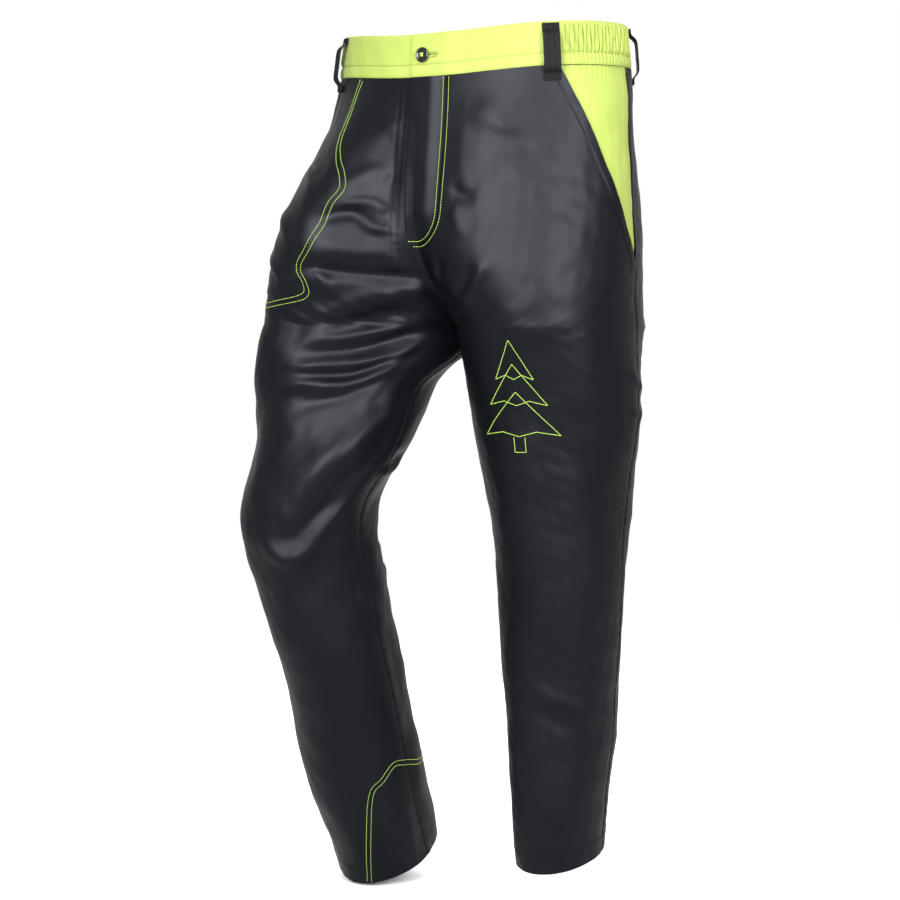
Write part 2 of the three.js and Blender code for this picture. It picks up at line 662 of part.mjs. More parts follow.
// ---- belt loops ----
const loopOutline = [
  [0, 0],
  [0, 7],
  [LOOP_STAND, 14],
  [LOOP_STAND, LOOP_HEIGHT - 14],
  [0, LOOP_HEIGHT - 7],
  [0, LOOP_HEIGHT],
  [LOOP_THICK, LOOP_HEIGHT],
  [LOOP_THICK, LOOP_HEIGHT - 6.2],
  [LOOP_STAND + LOOP_THICK, LOOP_HEIGHT - 13],
  [LOOP_STAND + LOOP_THICK, 13],
  [LOOP_THICK, 6.2],
  [LOOP_THICK, 0],
];
const loops = [
  ["belt_loop_front_left", FRONT_LOOP],
  ["belt_loop_front_right", -FRONT_LOOP],
  ["belt_loop_side_left", BACK_LOOP],
  ["belt_loop_side_right", -BACK_LOOP],
  ["belt_loop_back", 1],
];
for (const [name, share] of loops) {
  const high = onSurface(share, -2, 0, true);
  const low = onSurface(share, -2 - LOOP_HEIGHT, 0, true);
  const before = onSurface(share - 0.012, -30, 0, true);
  const after = onSurface(share + 0.012, -30, 0, true);
  const down = low.clone().sub(high).normalize();
  const out = down.clone().cross(after.sub(before)).normalize();
  if (out.dot(high) < 0) out.negate();
  const start = high.clone().addScaledVector(out, GAP + 0.35);
  add(name, prism(loopOutline, LOOP_WIDTH, frameFrom(start, out, down)), "loop");
}

// ---- pockets ----
function mouthShare(z) {
  const t = (z - SHELL_TOP) / (POCKET_LOW - SHELL_TOP);
  return lerp(POCKET_TOP, SIDE_SEAM, Math.min(1, Math.max(0, t)));
}

function pocketDrop(u, z) {
  const width = Math.max(SIDE_SEAM - mouthShare(z), 0.05);
  return CLOTH + GAP + 0.3 + POCKET_DEPTH * smooth((SIDE_SEAM - u) / width);
}

const POCKET_FLOOR = -RISE * 0.9;
const FACING = 0.8;
const extraShares = [0.5075, 0.525];
for (const [side, word] of sides) {
  const facing = layer(
    side,
    0.2365,
    SIDE_SEAM - SEAM_GAP,
    SHELL_TOP,
    POCKET_FLOOR + 6,
    (u, z) => -pocketDrop(u, z),
    (u, z) => -pocketDrop(u, z) - FACING,
    extraShares,
  );
  add("pocket_facing_" + word, facing, "yellow");
  const outer = layer(
    side,
    0.2265,
    0.5,
    SHELL_TOP,
    POCKET_FLOOR,
    always(-CLOTH - 2 * GAP),
    (u, z) => -pocketDrop(u, z) - FACING - 2.6 * GAP - THIN_CLOTH,
    extraShares,
  );
  const room = layer(
    side,
    0.231,
    0.525,
    SHELL_TOP + 10,
    POCKET_FLOOR + 3,
    always(-CLOTH - 2 * GAP - THIN_CLOTH),
    (u, z) => -pocketDrop(u, z) - FACING - 2.6 * GAP,
    extraShares,
  );
  const bag = outer.subtract(room).trimByPlane(...slantPlane(side, 4));
  add("pocket_bag_" + word, bag, "pocket");
}

// ---- cut pads and lining, kept clear of the pockets by stepping inwards over the hips ----
function stepIn(z) {
  const start = smooth((-z - BAND_HEIGHT * 0.6) / (BAND_HEIGHT * 0.4));
  const end = 1 - smooth((-z - RISE * 0.93) / 55);
  return (POCKET_DEPTH + 3.8) * start * end;
}

for (const [side, word] of sides) {
  const hem = hemLevel[side];
  const edges = [];
  for (let k = 0; k < PLIES; k += 1) edges.push(-RISE * 0.372 - 8 * k, hem + 50 + 8 * k);
  for (let k = 0; k < PLIES; k += 1) {
    const outside = CLOTH + GAP + k * (PLY + GAP);
    const pad = layer(
      side,
      0.11,
      0.475,
      edges[2 * k],
      edges[2 * k + 1],
      (u, z) => -outside - stepIn(z),
      (u, z) => -outside - PLY - stepIn(z),
      [],
      edges,
    );
    add("cut_pad_" + word + "_" + (k + 1), pad, "pad");
  }
  const inside = (z) => {
    const under = CLOTH + GAP + PLIES * (PLY + GAP);
    const atBand = BAND_THICK + 2 * GAP + 1.4;
    return lerp(atBand, under, smooth((-z - BAND_HEIGHT * 0.6) / (BAND_HEIGHT * 0.4))) + stepIn(z);
  };
  const lining = layer(
    side,
    0.08,
    0.52,
    -BAND_HEIGHT * 0.6,
    hem + 30,
    (u, z) => -inside(z),
    (u, z) => -inside(z) - THIN_CLOTH,
    [],
    edges,
  );
  add("lining_front_" + word, lining, "lining");
}

export default trousers;
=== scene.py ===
"""Looks of the chainsaw protection trousers: every layer of cloth is a closed sheet over one worn shape."""

import math

import bpy
import numpy as np
from mathutils import Matrix, Vector


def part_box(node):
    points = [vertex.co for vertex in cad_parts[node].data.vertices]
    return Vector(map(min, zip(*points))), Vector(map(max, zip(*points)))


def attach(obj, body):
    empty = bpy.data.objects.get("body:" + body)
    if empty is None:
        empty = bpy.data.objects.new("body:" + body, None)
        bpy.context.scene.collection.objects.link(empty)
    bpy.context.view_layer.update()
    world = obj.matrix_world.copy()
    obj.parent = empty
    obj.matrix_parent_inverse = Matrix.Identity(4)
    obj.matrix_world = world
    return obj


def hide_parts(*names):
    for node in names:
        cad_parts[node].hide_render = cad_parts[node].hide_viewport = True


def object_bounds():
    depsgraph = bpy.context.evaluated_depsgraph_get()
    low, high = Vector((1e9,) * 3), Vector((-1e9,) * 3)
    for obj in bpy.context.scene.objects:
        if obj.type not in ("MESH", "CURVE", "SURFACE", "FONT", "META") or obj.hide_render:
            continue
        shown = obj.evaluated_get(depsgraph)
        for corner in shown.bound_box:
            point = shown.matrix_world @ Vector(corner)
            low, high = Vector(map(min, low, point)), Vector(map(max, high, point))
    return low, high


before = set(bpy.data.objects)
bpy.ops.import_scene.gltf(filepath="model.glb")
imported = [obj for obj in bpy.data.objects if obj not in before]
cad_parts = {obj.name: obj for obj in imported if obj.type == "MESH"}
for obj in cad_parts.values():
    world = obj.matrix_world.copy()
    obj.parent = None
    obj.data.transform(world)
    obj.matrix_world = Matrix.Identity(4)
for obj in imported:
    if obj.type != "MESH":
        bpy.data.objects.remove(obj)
cad_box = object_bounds()

# ---- sizes of the cut pattern, in millimetres, the same as the frame's ----
RISE = 352.0
LEG = {1: 652.0, -1: 684.0}
WAIST_HALF_WIDTH = 192.0
WAIST_HALF_DEPTH = 124.0
FRONT_DIP = 12.0
BAND_HEIGHT = 50.0
BAND_THICK = 2.4
CLOTH = 1.2
THIN_CLOTH = 0.6
GAP = 0.3
PLY = 1.4
PLIES = 3
SIDE_SEAM = 0.54
FRONT_LOOP = 0.283
BACK_LOOP = 0.645
BAND_BACK = 0.62
FLY_STITCH = 0.056
FLY_EDGE = -0.0215
POCKET_TOP = 0.3
POCKET_DEPTH = 6.7
LOOP_WIDTH = 20.0
LOOP_HEIGHT = 66.0
LOOP_STAND = 7.0
BUTTON_RADIUS = 8.75
BUTTON_THICK = 3.0
HEM_HEIGHT = 24.0
SHELL_TOP = -BAND_HEIGHT - GAP
FLY_TOP = SHELL_TOP - 0.1
FLY_BOTTOM = -RISE * 0.73
FLY_ROUND = 36.0
POCKET_LOW = -RISE * 0.8
POCKET_FLOOR = -RISE * 0.9
HEM = {side: -RISE - leg for side, leg in LEG.items()}
SIDES = ((1, "left"), (-1, "right"))

# share of the rise, added half width, added half depth, centre Y
TORSO = [
    (0, 0, 0, -6),
    (0.148, 5, 2, -6),
    (0.341, 10, 7, -6),
    (0.568, 15, 15, -6),
    (0.753, 17, 16, -9),
    (1, 19, 2, -12),
]
# share of the leg, centre X, half width, centre Y, half depth, tilt in degrees
LEG_KNOTS = {
    1: [
        (0, 105.5, 105.5, -12, 126, 0),
        (0.135, 107, 103, -9, 106, 2),
        (0.365, 113, 84, -5, 90, 5),
        (0.672, 113, 68, 2, 78, 8),
        (0.887, 112, 58, 2, 70, 11),
        (1, 111, 53, 2, 66, 12),
    ],
    -1: [
        (0, 121, 105.5, -46, 126, 0),
        (0.129, 141, 101, -94, 109, 3),
        (0.216, 142, 98, -124, 100, 4),
        (0.319, 155, 82, -153, 92, 6),
        (0.494, 153, 72, -129, 84, 17),
        (0.684, 147, 70, -91, 80, 19),
        (0.86, 145, 68, -55, 76, 22),
        (1, 144, 66, -20, 74, 24),
    ],
}
HIP_FORWARD = 44.0
HIP_OUT = 9.0
CROTCH_CURVE = 5
# millimetres that one share stands for, where a round number will do
HALF_ROUND = 600
LEG_ROUND = 450


def smooth(value):
    t = np.clip(value, 0, 1)
    return t * t * (3 - 2 * t)


def mix(a, b, t):
    return a + (b - a) * t


def near(distance, reach):
    """A bell curve: 1 at no distance, and almost nothing beyond twice the reach."""
    return np.exp(-((distance / reach) ** 2))


def read_table(table, column, share):
    """A smooth curve through the rows of a table, read at each share of the length."""
    at = np.array([row[0] for row in table], float)
    value = np.array([row[column] for row in table], float)
    step = np.diff(at)
    slope = np.diff(value) / step
    tangent = np.empty(len(at))
    tangent[0] = slope[0]
    tangent[-1] = slope[-1]
    tangent[1:-1] = (slope[:-1] * step[1:] + slope[1:] * step[:-1]) / (step[:-1] + step[1:])
    share = np.clip(share, at[0], at[-1])
    i = np.clip(np.searchsorted(at, share, side="right") - 1, 0, len(at) - 2)
    h = step[i]
    t = (share - at[i]) / h
    return (
        value[i] * (1 + 2 * t) * (1 - t) ** 2
        + tangent[i] * h * t * (1 - t) ** 2
        + value[i + 1] * t * t * (3 - 2 * t)
        + tangent[i + 1] * h * t * t * (t - 1)
    )


def plain_surface(side, u, z):
    """A point of the smooth worn shape. u runs round one half, from 0 at the centre front or inseam to 1."""
    knots = LEG_KNOTS[side]
    rise = np.clip(-z / RISE, 0, 1)
    below = np.maximum(0, -z - RISE) / LEG[side]
    low = below > 0
    reach = WAIST_HALF_WIDTH + read_table(TORSO, 1, rise)
    share = rise**CROTCH_CURVE * (1 + 3 * (1 - rise))
    body_depth = WAIST_HALF_DEPTH + read_table(TORSO, 2, rise)
    centre_y = read_table(TORSO, 3, rise)
    keep = 1 - smooth(below / 0.3)
    leg_width = read_table(knots, 2, below) * mix(1, reach / 2 / knots[0][2], keep)
    leg_depth = read_table(knots, 4, below) * mix(1, body_depth / knots[0][4], keep)
    width = np.where(low, leg_width, reach / (1 + share))
    depth = np.where(low, leg_depth, body_depth)
    centre_x = np.where(low, leg_width, reach * share / (1 + share))
    spread = np.where(low, math.pi, np.arccos(-np.clip(share, 0, 1)))
    tilt = np.where(low, np.radians(read_table(knots, 5, below)), 0)
    wide = smooth((1 - np.abs(2 * u - 1)) / 0.35)
    leg_x = read_table(knots, 1, below) - read_table(knots, 2, below)
    leg_y = read_table(knots, 3, below) - centre_y
    theta = (2 * u - 1) * spread
    if side > 0:
        move_x = np.where(low, leg_x, 0)
        move_y = np.where(low, leg_y, 0)
    else:
        held = wide + (1 - wide) * smooth(below / 0.12)
        grow = smooth(rise) * wide
        move_x = np.where(low, leg_x * held, (knots[0][1] - knots[0][2]) * grow)
        move_y = np.where(low, leg_y * held, (knots[0][3] - centre_y) * grow)
        full = smooth((rise - 0.17) / 0.55) * (1 - smooth((-z - RISE) / 150))
        hip = full * wide * near(theta + 0.95, 0.75)
        move_x = move_x + HIP_OUT * hip
        move_y = move_y - HIP_FORWARD * hip
    swing = depth * np.sin(theta)
    dip = FRONT_DIP * near(u, 0.22) * smooth((z + 150) / 100)
    return np.stack(
        [
            side * (centre_x + move_x + width * np.cos(theta)),
            centre_y + move_y + swing * np.cos(tilt),
            z + swing * np.sin(tilt) - dip,
        ],
        -1,
    )


def unit(vectors):
    return vectors / np.maximum(np.linalg.norm(vectors, axis=-1, keepdims=True), 1e-9)


def plain_normal(side, u, z):
    step_u = 0.004
    step_z = 3.0
    before = plain_surface(side, np.maximum(u - step_u, 0), z)
    after = plain_surface(side, np.minimum(u + step_u, 1), z)
    high = plain_surface(side, u, np.minimum(z + step_z, 0))
    low = plain_surface(side, u, np.maximum(z - step_z, HEM[side]))
    return unit(np.cross(after - before, high - low)) * side


def girth_table(side):
    levels = np.linspace(0, HEM[side], 60)
    share = np.linspace(0, 1, 121)
    points = plain_surface(side, share[None, :], levels[:, None])
    length = np.linalg.norm(np.diff(points, axis=1), axis=-1).sum(1)
    return levels[::-1], length[::-1]


GIRTHS = {side: girth_table(side) for side in (1, -1)}


def girth(side, z):
    levels, length = GIRTHS[side]
    return np.interp(z, levels, length)


# ---- folds: a path of (share round, level), height and half width in mm, and how far each end fades ----
RIGHT_FOLDS = [
    ([(-0.03, -298), (0.075, -294), (0.17, -287), (0.235, -294)], -5.5, 8, 0.1, 0.4),
    ([(0.015, -272), (0.10, -264), (0.18, -262)], 3.5, 13, 0.3, 0.5),
    ([(0.0, -304), (0.09, -318), (0.18, -342), (0.277, -366)], 5.5, 10, 0.15, 0.3),
    ([(0.04, -330), (0.13, -347), (0.24, -361)], -3.5, 6.5, 0.2, 0.4),
    ([(0.05, -343), (0.17, -364), (0.273, -372)], 4.5, 7.5, 0.15, 0.35),
    ([(0.08, -354), (0.15, -379), (0.25, -383)], -3.5, 6.5, 0.2, 0.3),
    ([(0.07, -364), (0.117, -391), (0.22, -399), (0.285, -391)], 5, 7.5, 0.2, 0.3),
    ([(0.09, -384), (0.15, -407), (0.25, -407)], -3.5, 6.5, 0.2, 0.3),
    ([(0.08, -392), (0.143, -420), (0.24, -418), (0.30, -430)], 5, 8.5, 0.2, 0.35),
    ([(0.09, -410), (0.16, -434), (0.25, -440)], -3.5, 10, 0.25, 0.4),
    ([(0.02, -440), (0.085, -470), (0.15, -508), (0.21, -556)], 6, 19, 0.2, 0.45),
    ([(0.01, -480), (0.07, -520), (0.13, -570)], -4, 17, 0.3, 0.4),
    ([(0.27, -592), (0.20, -617), (0.14, -612), (0.095, -586), (0.06, -562), (0.03, -548)], 6, 10, 0.25, 0.25),
    ([(0.23, -590), (0.17, -594), (0.12, -572), (0.075, -545)], -4, 11, 0.3, 0.3),
    ([(0.22, -640), (0.14, -645), (0.07, -612)], -2.5, 18, 0.35, 0.35),
    ([(0.02, -528), (-0.03, -532), (-0.08, -520)], 3.5, 6, 0.3, 0.4),
    ([(0.0, -512), (-0.05, -516), (-0.09, -498)], -3, 7, 0.3, 0.4),
    ([(0.05, -668), (0.0, -700), (-0.05, -745)], 2.5, 9, 0.3, 0.4),
    ([(0.155, -232), (0.10, -221), (0.066, -238), (0.045, -233)], 3.5, 7, 0.3, 0.15),
    ([(0.13, -211), (0.08, -206), (0.05, -221)], -3, 6.5, 0.3, 0.2),
    ([(0.125, -190), (0.08, -171), (0.045, -180)], 2.5, 11, 0.3, 0.2),
    ([(0.105, -150), (0.07, -120), (0.05, -95)], 1.8, 14, 0.4, 0.4),
    ([(0.28, -158), (0.21, -176), (0.165, -207)], 3.2, 9, 0.3, 0.3),
    ([(0.31, -214), (0.23, -236), (0.185, -263)], 3.5, 9, 0.3, 0.3),
    ([(0.33, -262), (0.26, -286), (0.22, -300)], 3, 8, 0.3, 0.3),
    ([(0.165, -284), (0.148, -300), (0.16, -318)], 3, 6, 0.3, 0.3),
    ([(0.34, -316), (0.27, -312), (0.22, -306)], 2.5, 7, 0.3, 0.3),
    ([(0.36, -470), (0.30, -520), (0.27, -580)], 2.5, 22, 0.4, 0.4),
    ([(0.10, -760), (0.2, -790), (0.32, -800)], 1.6, 16, 0.4, 0.4),
    ([(0.08, -840), (0.18, -850), (0.3, -880)], 1.4, 14, 0.4, 0.4),
    ([(0.66, -636), (0.78, -652), (0.90, -640)], 4.5, 9, 0.3, 0.3),
    ([(0.64, -676), (0.77, -672), (0.91, -686)], 4.5, 10, 0.3, 0.3),
    ([(0.66, -656), (0.78, -664), (0.88, -662)], -3.5, 7, 0.3, 0.3),
    ([(0.68, -610), (0.80, -612), (0.9, -598)], 3, 11, 0.3, 0.3),
    ([(0.66, -716), (0.78, -708), (0.88, -722)], 3, 12, 0.3, 0.3),
    ([(0.62, -340), (0.75, -372), (0.90, -360)], 4.5, 14, 0.3, 0.3),
    ([(0.60, -386), (0.74, -402), (0.9, -388)], 3.5, 13, 0.3, 0.3),
    ([(0.58, -300), (0.66, -330), (0.78, -340)], 3, 12, 0.3, 0.3),
]
LEFT_FOLDS = [
    ([(0.035, -262), (0.042, -288), (0.03, -312)], 3.2, 6.5, 0.3, 0.4),
    ([(0.062, -262), (0.06, -292), (0.045, -312)], -2.5, 6, 0.3, 0.4),
    ([(0.158, -268), (0.172, -292), (0.15, -318), (0.10, -338)], 3.2, 8, 0.3, 0.4),
    ([(0.135, -282), (0.14, -300), (0.11, -318)], -3, 7, 0.3, 0.4),
    ([(0.05, -318), (0.085, -334), (0.13, -352)], 2.8, 8, 0.3, 0.4),
    ([(0.07, -186), (0.10, -200), (0.14, -204)], -2.4, 8, 0.3, 0.4),
    ([(0.075, -214), (0.10, -232), (0.10, -256)], 2.2, 9, 0.3, 0.4),
    ([(0.10, -96), (0.17, -118), (0.22, -132)], 2.2, 15, 0.4, 0.4),
    ([(0.13, -150), (0.2, -142), (0.27, -156)], -1.8, 15, 0.4, 0.4),
    ([(0.14, -178), (0.23, -184), (0.32, -222)], 2, 17, 0.4, 0.4),
    ([(0.44, -330), (0.41, -400), (0.42, -470)], 2, 24, 0.4, 0.4),
    ([(0.50, -398), (0.545, -424), (0.60, -430)], 2.4, 9, 0.3, 0.3),
    ([(0.50, -448), (0.55, -462), (0.60, -456)], 2.2, 8, 0.3, 0.3),
    ([(0.33, -560), (0.31, -640), (0.33, -720)], 2, 24, 0.4, 0.4),
    ([(0.20, -764), (0.30, -782), (0.40, -806), (0.48, -842)], 2.2, 11, 0.4, 0.4),
    ([(0.22, -790), (0.32, -812), (0.42, -838)], -1.6, 12, 0.4, 0.4),
    ([(0.12, -860), (0.22, -850), (0.3, -866)], 1.6, 13, 0.4, 0.4),
    ([(0.62, -340), (0.75, -364), (0.92, -350)], 4.5, 14, 0.3, 0.3),
    ([(0.62, -384), (0.76, -398), (0.9, -388)], 3.2, 13, 0.3, 0.3),
    ([(0.66, -640), (0.78, -652), (0.9, -640)], 2.6, 12, 0.3, 0.3),
    ([(0.66, -684), (0.78, -690), (0.9, -682)], 2.4, 13, 0.3, 0.3),
]
FOLDS = {1: LEFT_FOLDS, -1: RIGHT_FOLDS}


def rounded_path(path, steps=6):
    """A smooth line through the corners of a path."""
    corners = np.array(path, float)
    before = 2 * corners[:1] - corners[1:2]
    after = 2 * corners[-1:] - corners[-2:-1]
    padded = np.concatenate([before, corners, after])
    pieces = []
    for a, b, c, d in zip(padded, padded[1:], padded[2:], padded[3:]):
        t = np.linspace(0, 1, steps, endpoint=False)[:, None]
        square = (2 * a - 5 * b + 4 * c - d) * t**2
        cube = (3 * b - a - 3 * c + d) * t**3
        pieces.append(0.5 * (2 * b + (c - a) * t + square + cube))
    return np.concatenate([*pieces, corners[-1:]])


def fold(side, u, z, path, height, half_width, fade_in, fade_out):
    """The height of one fold, which is a soft ridge along its path, or a groove where height is below 0."""
    line = rounded_path(path)
    x = u * girth(side, z)
    ends = np.stack([line[:, 0] * girth(side, line[:, 1]), line[:, 1]], -1)
    lengths = np.linalg.norm(np.diff(ends, axis=0), axis=1)
    total = lengths.sum()
    nearest = np.full(np.broadcast(x, z).shape, 1e9)
    along = np.zeros_like(nearest)
    done = 0.0
    for start, end, length in zip(ends, ends[1:], lengths):
        way = (end - start) / length
        t = np.clip((x - start[0]) * way[0] + (z - start[1]) * way[1], 0, length)
        away = np.hypot(x - start[0] - way[0] * t, z - start[1] - way[1] * t)
        closer = away < nearest
        nearest = np.where(closer, away, nearest)
        along = np.where(closer, (done + t) / total, along)
        done += length
    ends_fade = smooth(along / fade_in) * smooth((1 - along) / fade_out)
    grow = 1 + 0.5 * (1 - ends_fade)
    return height * ends_fade * near(nearest, half_width * grow)


# ---- slow waves between the folds: length, height, direction and phase of each ----
WAVES = {1: [], -1: []}
for side, seed, calm in ((1, 11, 0.55), (-1, 23, 0.85)):
    draw = np.random.default_rng(seed)
    for length, height, many in ((190, 0.9, 5), (95, 0.45 * calm, 6), (42, 0.16 * calm, 8), (20, 0.05, 8)):
        for _ in range(many):
            turn = draw.uniform(0, math.pi)
            phase = draw.uniform(0, 2 * math.pi)
            WAVES[side].append((length, height, turn, phase))


def seam_relief(side, u, z, edge):
    """Pockmarks and a groove along the side seam below the pocket and along the inseam."""
    seam = (u - SIDE_SEAM) * girth(side, z)
    pucker = np.sin(2 * math.pi * z / 15 + 1.3 * np.sin(z / 31)) * near(seam, 7)
    low = smooth((POCKET_LOW - z) / 20)
    side_seam = low * (0.45 * pucker - 0.9 * near(seam, 1.6))
    inseam = edge * girth(side, z)
    return side_seam, (z < -RISE) * (0.3 * np.sin(z / 2.3) * near(inseam, 6) - 0.8 * near(inseam, 1.6))


def relief(side, u, z):
    """How far the worn cloth stands off the smooth shape, the same for every layer."""
    u, z = np.broadcast_arrays(np.asarray(u, float), np.asarray(z, float))
    x = u * girth(side, z)
    total = np.zeros(u.shape)
    for length, height, turn, phase in WAVES[side]:
        run = x * math.cos(turn) + z * math.sin(turn)
        total += height * np.sin(2 * math.pi * run / length + phase)
    edge = np.minimum(u, 1 - u)
    total *= smooth(edge / 0.05)
    for path, height, half_width, fade_in, fade_out in FOLDS[side]:
        for turn in (-1, 0, 1):
            if turn and min(corner[0] for corner in path) > 0.04:
                continue
            piece = fold(side, u + turn, z, path, height, half_width, fade_in, fade_out)
            total += piece if turn == 0 else piece * (z < -RISE)
    # the cloth lies flat under the band, along the fly and at the fork
    total *= smooth((-z - 56) / 45)
    reach, fade = (0.062, 0.04) if side > 0 else (0.02, 0.035)
    total *= 1 - (1 - smooth((u - reach) / fade)) * smooth((z + 292) / 26)
    total *= 1 - smooth((z + RISE + 12) / 14) * (1 - smooth(edge / 0.03))
    for seam in seam_relief(side, u, z, edge):
        total += seam
    return total


def cloth_point(side, u, z, out=0.0):
    height = relief(side, u, z) + out
    return plain_surface(side, u, z) + plain_normal(side, u, z) * np.asarray(height)[..., None]


def split_sides(s):
    """Signed shares as a side and a share: below -1 or above 1 they pass the centre back."""
    s = np.asarray(s, float)
    side = np.where(s > 1, -1, np.where(s < -1, 1, np.where(s < 0, -1, 1)))
    u = np.where(np.abs(s) > 1, 2 - np.abs(s), np.abs(s))
    return side, u


def joined_point(s, z, out=0.0, folds=1.0):
    """A point at signed share s, positive on the wearer's left; the two halves meet smoothly."""
    s, z, out = np.broadcast_arrays(np.asarray(s, float), np.asarray(z, float), np.asarray(out, float))
    side, u = split_sides(s)
    result = np.empty(s.shape + (3,))
    for one in (1, -1):
        pick = side == one
        if not pick.any():
            continue
        normal = plain_normal(one, u[pick], z[pick])
        middle = near(np.minimum(u[pick], 1 - u[pick]), 0.006)
        normal[:, 0] *= 1 - middle
        height = out[pick] + folds * relief(one, u[pick], z[pick])
        result[pick] = plain_surface(one, u[pick], z[pick]) + unit(normal) * height[:, None]
    return result


# ---- mesh building ----
def new_object(name, points, faces, material, uv=None):
    """An object from points in millimetres."""
    mesh = bpy.data.meshes.new(name)
    faces = faces if isinstance(faces, list) else faces.tolist()
    mesh.from_pydata((np.asarray(points) / 1000).tolist(), [], faces)
    if uv is not None:
        layer = mesh.uv_layers.new(name="UVMap")
        corner = np.empty(len(mesh.loops), np.int32)
        mesh.loops.foreach_get("vertex_index", corner)
        layer.data.foreach_set("uv", np.asarray(uv, np.float32)[corner].ravel())
    mesh.materials.append(material)
    mesh.polygons.foreach_set("use_smooth", [True] * len(mesh.polygons))
    mesh.set_sharp_from_angle(angle=math.radians(58))
    made = bpy.data.objects.new(name, mesh)
    bpy.context.scene.collection.objects.link(made)
    return made


def volume(points, faces):
    """The volume inside four-sided faces, below 0 where they face inwards."""
    a, b, c, d = (points[faces[:, k]] for k in range(4))
    return (a * (np.cross(b, c) + np.cross(c, d))).sum() / 6


def sheet_object(name, outer, inner, s, z, material, ring=False):
    """One closed sheet between two grids of points, whose rows run down and columns run round."""
    rows, columns = outer.shape[:2]
    count = rows * columns
    at = np.arange(count).reshape(rows, columns)
    if ring:
        at = np.concatenate([at, at[:, :1]], 1)

    def quads(*corners):
        return np.stack([corner.ravel() for corner in corners], -1)

    upper = at[:-1]
    lower = at[1:]
    faces = [
        quads(upper[:, :-1], lower[:, :-1], lower[:, 1:], upper[:, 1:]),
        quads(upper[:, :-1], upper[:, 1:], lower[:, 1:], lower[:, :-1]) + count,
        quads(at[0, :-1], at[0, 1:], at[0, 1:] + count, at[0, :-1] + count),
        quads(at[-1, 1:], at[-1, :-1], at[-1, :-1] + count, at[-1, 1:] + count),
    ]
    if not ring:
        faces.append(quads(at[1:, 0], at[:-1, 0], at[:-1, 0] + count, at[1:, 0] + count))
        faces.append(quads(at[:-1, -1], at[1:, -1], at[1:, -1] + count, at[:-1, -1] + count))
    faces = np.concatenate(faces)
    points = np.concatenate([outer.reshape(-1, 3), inner.reshape(-1, 3)])
    if volume(points, faces) < 0:
        faces = faces[:, ::-1]
    s, z = np.broadcast_arrays(s, z)
    uv = np.stack([s.ravel() * (HALF_ROUND / 1000), z.ravel() / 1000], -1)
    made = new_object(name, points, faces, material, np.concatenate([uv, uv]))
    middle = (outer + inner) / 2
    across = np.linalg.norm(np.diff(middle, axis=1), axis=-1).sum(1).max() / 1000
    along = np.linalg.norm(np.diff(middle, axis=0), axis=-1).sum(0).max() / 1000
    first = middle[1:, 1:] - middle[:-1, :-1]
    second = middle[1:, :-1] - middle[:-1, 1:]
    area = np.linalg.norm(np.cross(first, second), axis=-1).sum() / 2e6
    made["flat_across"] = float(across)
    made["flat_along"] = float(along)
    made["flat_area"] = float(min(area, across * along))
    return made


def layer(name, side, u, z, outer, inner, material, ring=False):
    """A sheet on one side of the body, from outer to inner millimetres over the worn shape."""
    u, z = np.broadcast_arrays(u, z)
    faces = (cloth_point(side, u, z, outer), cloth_point(side, u, z, inner))
    return sheet_object(name, *faces, side * u, z, material, ring)


def joined_layer(name, s, z, outer, inner, material, folds=1.0):
    """The same across the centre front or back."""
    s, z = np.broadcast_arrays(s, z)
    faces = (joined_point(s, z, outer, folds), joined_point(s, z, inner, folds))
    return sheet_object(name, *faces, s, z, material)


def declare(piece, body, node):
    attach(piece, body)
    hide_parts(node)
    return piece


# ---- materials ----
WHITE = (1.0, 1.0, 1.0)


def set_input(tree, socket, value):
    if isinstance(value, bpy.types.NodeSocket):
        tree.links.new(value, socket)
    else:
        socket.default_value = value


def add_node(tree, kind, *placed, **named):
    """A new node, whose inputs are set or linked by place or by name, with _ for a space in a name."""
    made = tree.nodes.new("ShaderNode" + kind)
    for socket, value in zip(made.inputs, placed):
        set_input(tree, socket, value)
    for name, value in named.items():
        set_input(tree, made.inputs[name.replace("_", " ")], value)
    return made


def math_node(tree, operation, *values):
    made = add_node(tree, "Math", *values)
    made.operation = operation
    return made.outputs[0]


def map_range(tree, value, style="LINEAR", **limits):
    made = add_node(tree, "MapRange", Value=value, **limits)
    made.interpolation_type = style
    return made.outputs[0]


def shader_tree(name, **finish):
    """A material, its node tree and its shader, with the shader's uniform values set."""
    material = bpy.data.materials.new(name)
    material.use_nodes = True
    shader = material.node_tree.nodes["Principled BSDF"]
    for socket, value in finish.items():
        shader.inputs[socket.replace("_", " ")].default_value = value
    return material, material.node_tree, shader


def two_tones(tree, shader, grain, shade, colour, start, end):
    """The base colour, which goes from shade to colour as grain goes from start to end."""
    ramp = add_node(tree, "ValToRGB", Fac=grain)
    for element, position, tone in zip(ramp.color_ramp.elements, (start, end), (shade, colour)):
        element.position = position
        element.color = (*tone, 1)
    tree.links.new(ramp.outputs["Color"], shader.inputs["Base Color"])


def add_bump(tree, shader, height, strength, distance):
    bump = add_node(tree, "Bump", Height=height, Strength=strength, Distance=distance)
    tree.links.new(bump.outputs[0], shader.inputs["Normal"])


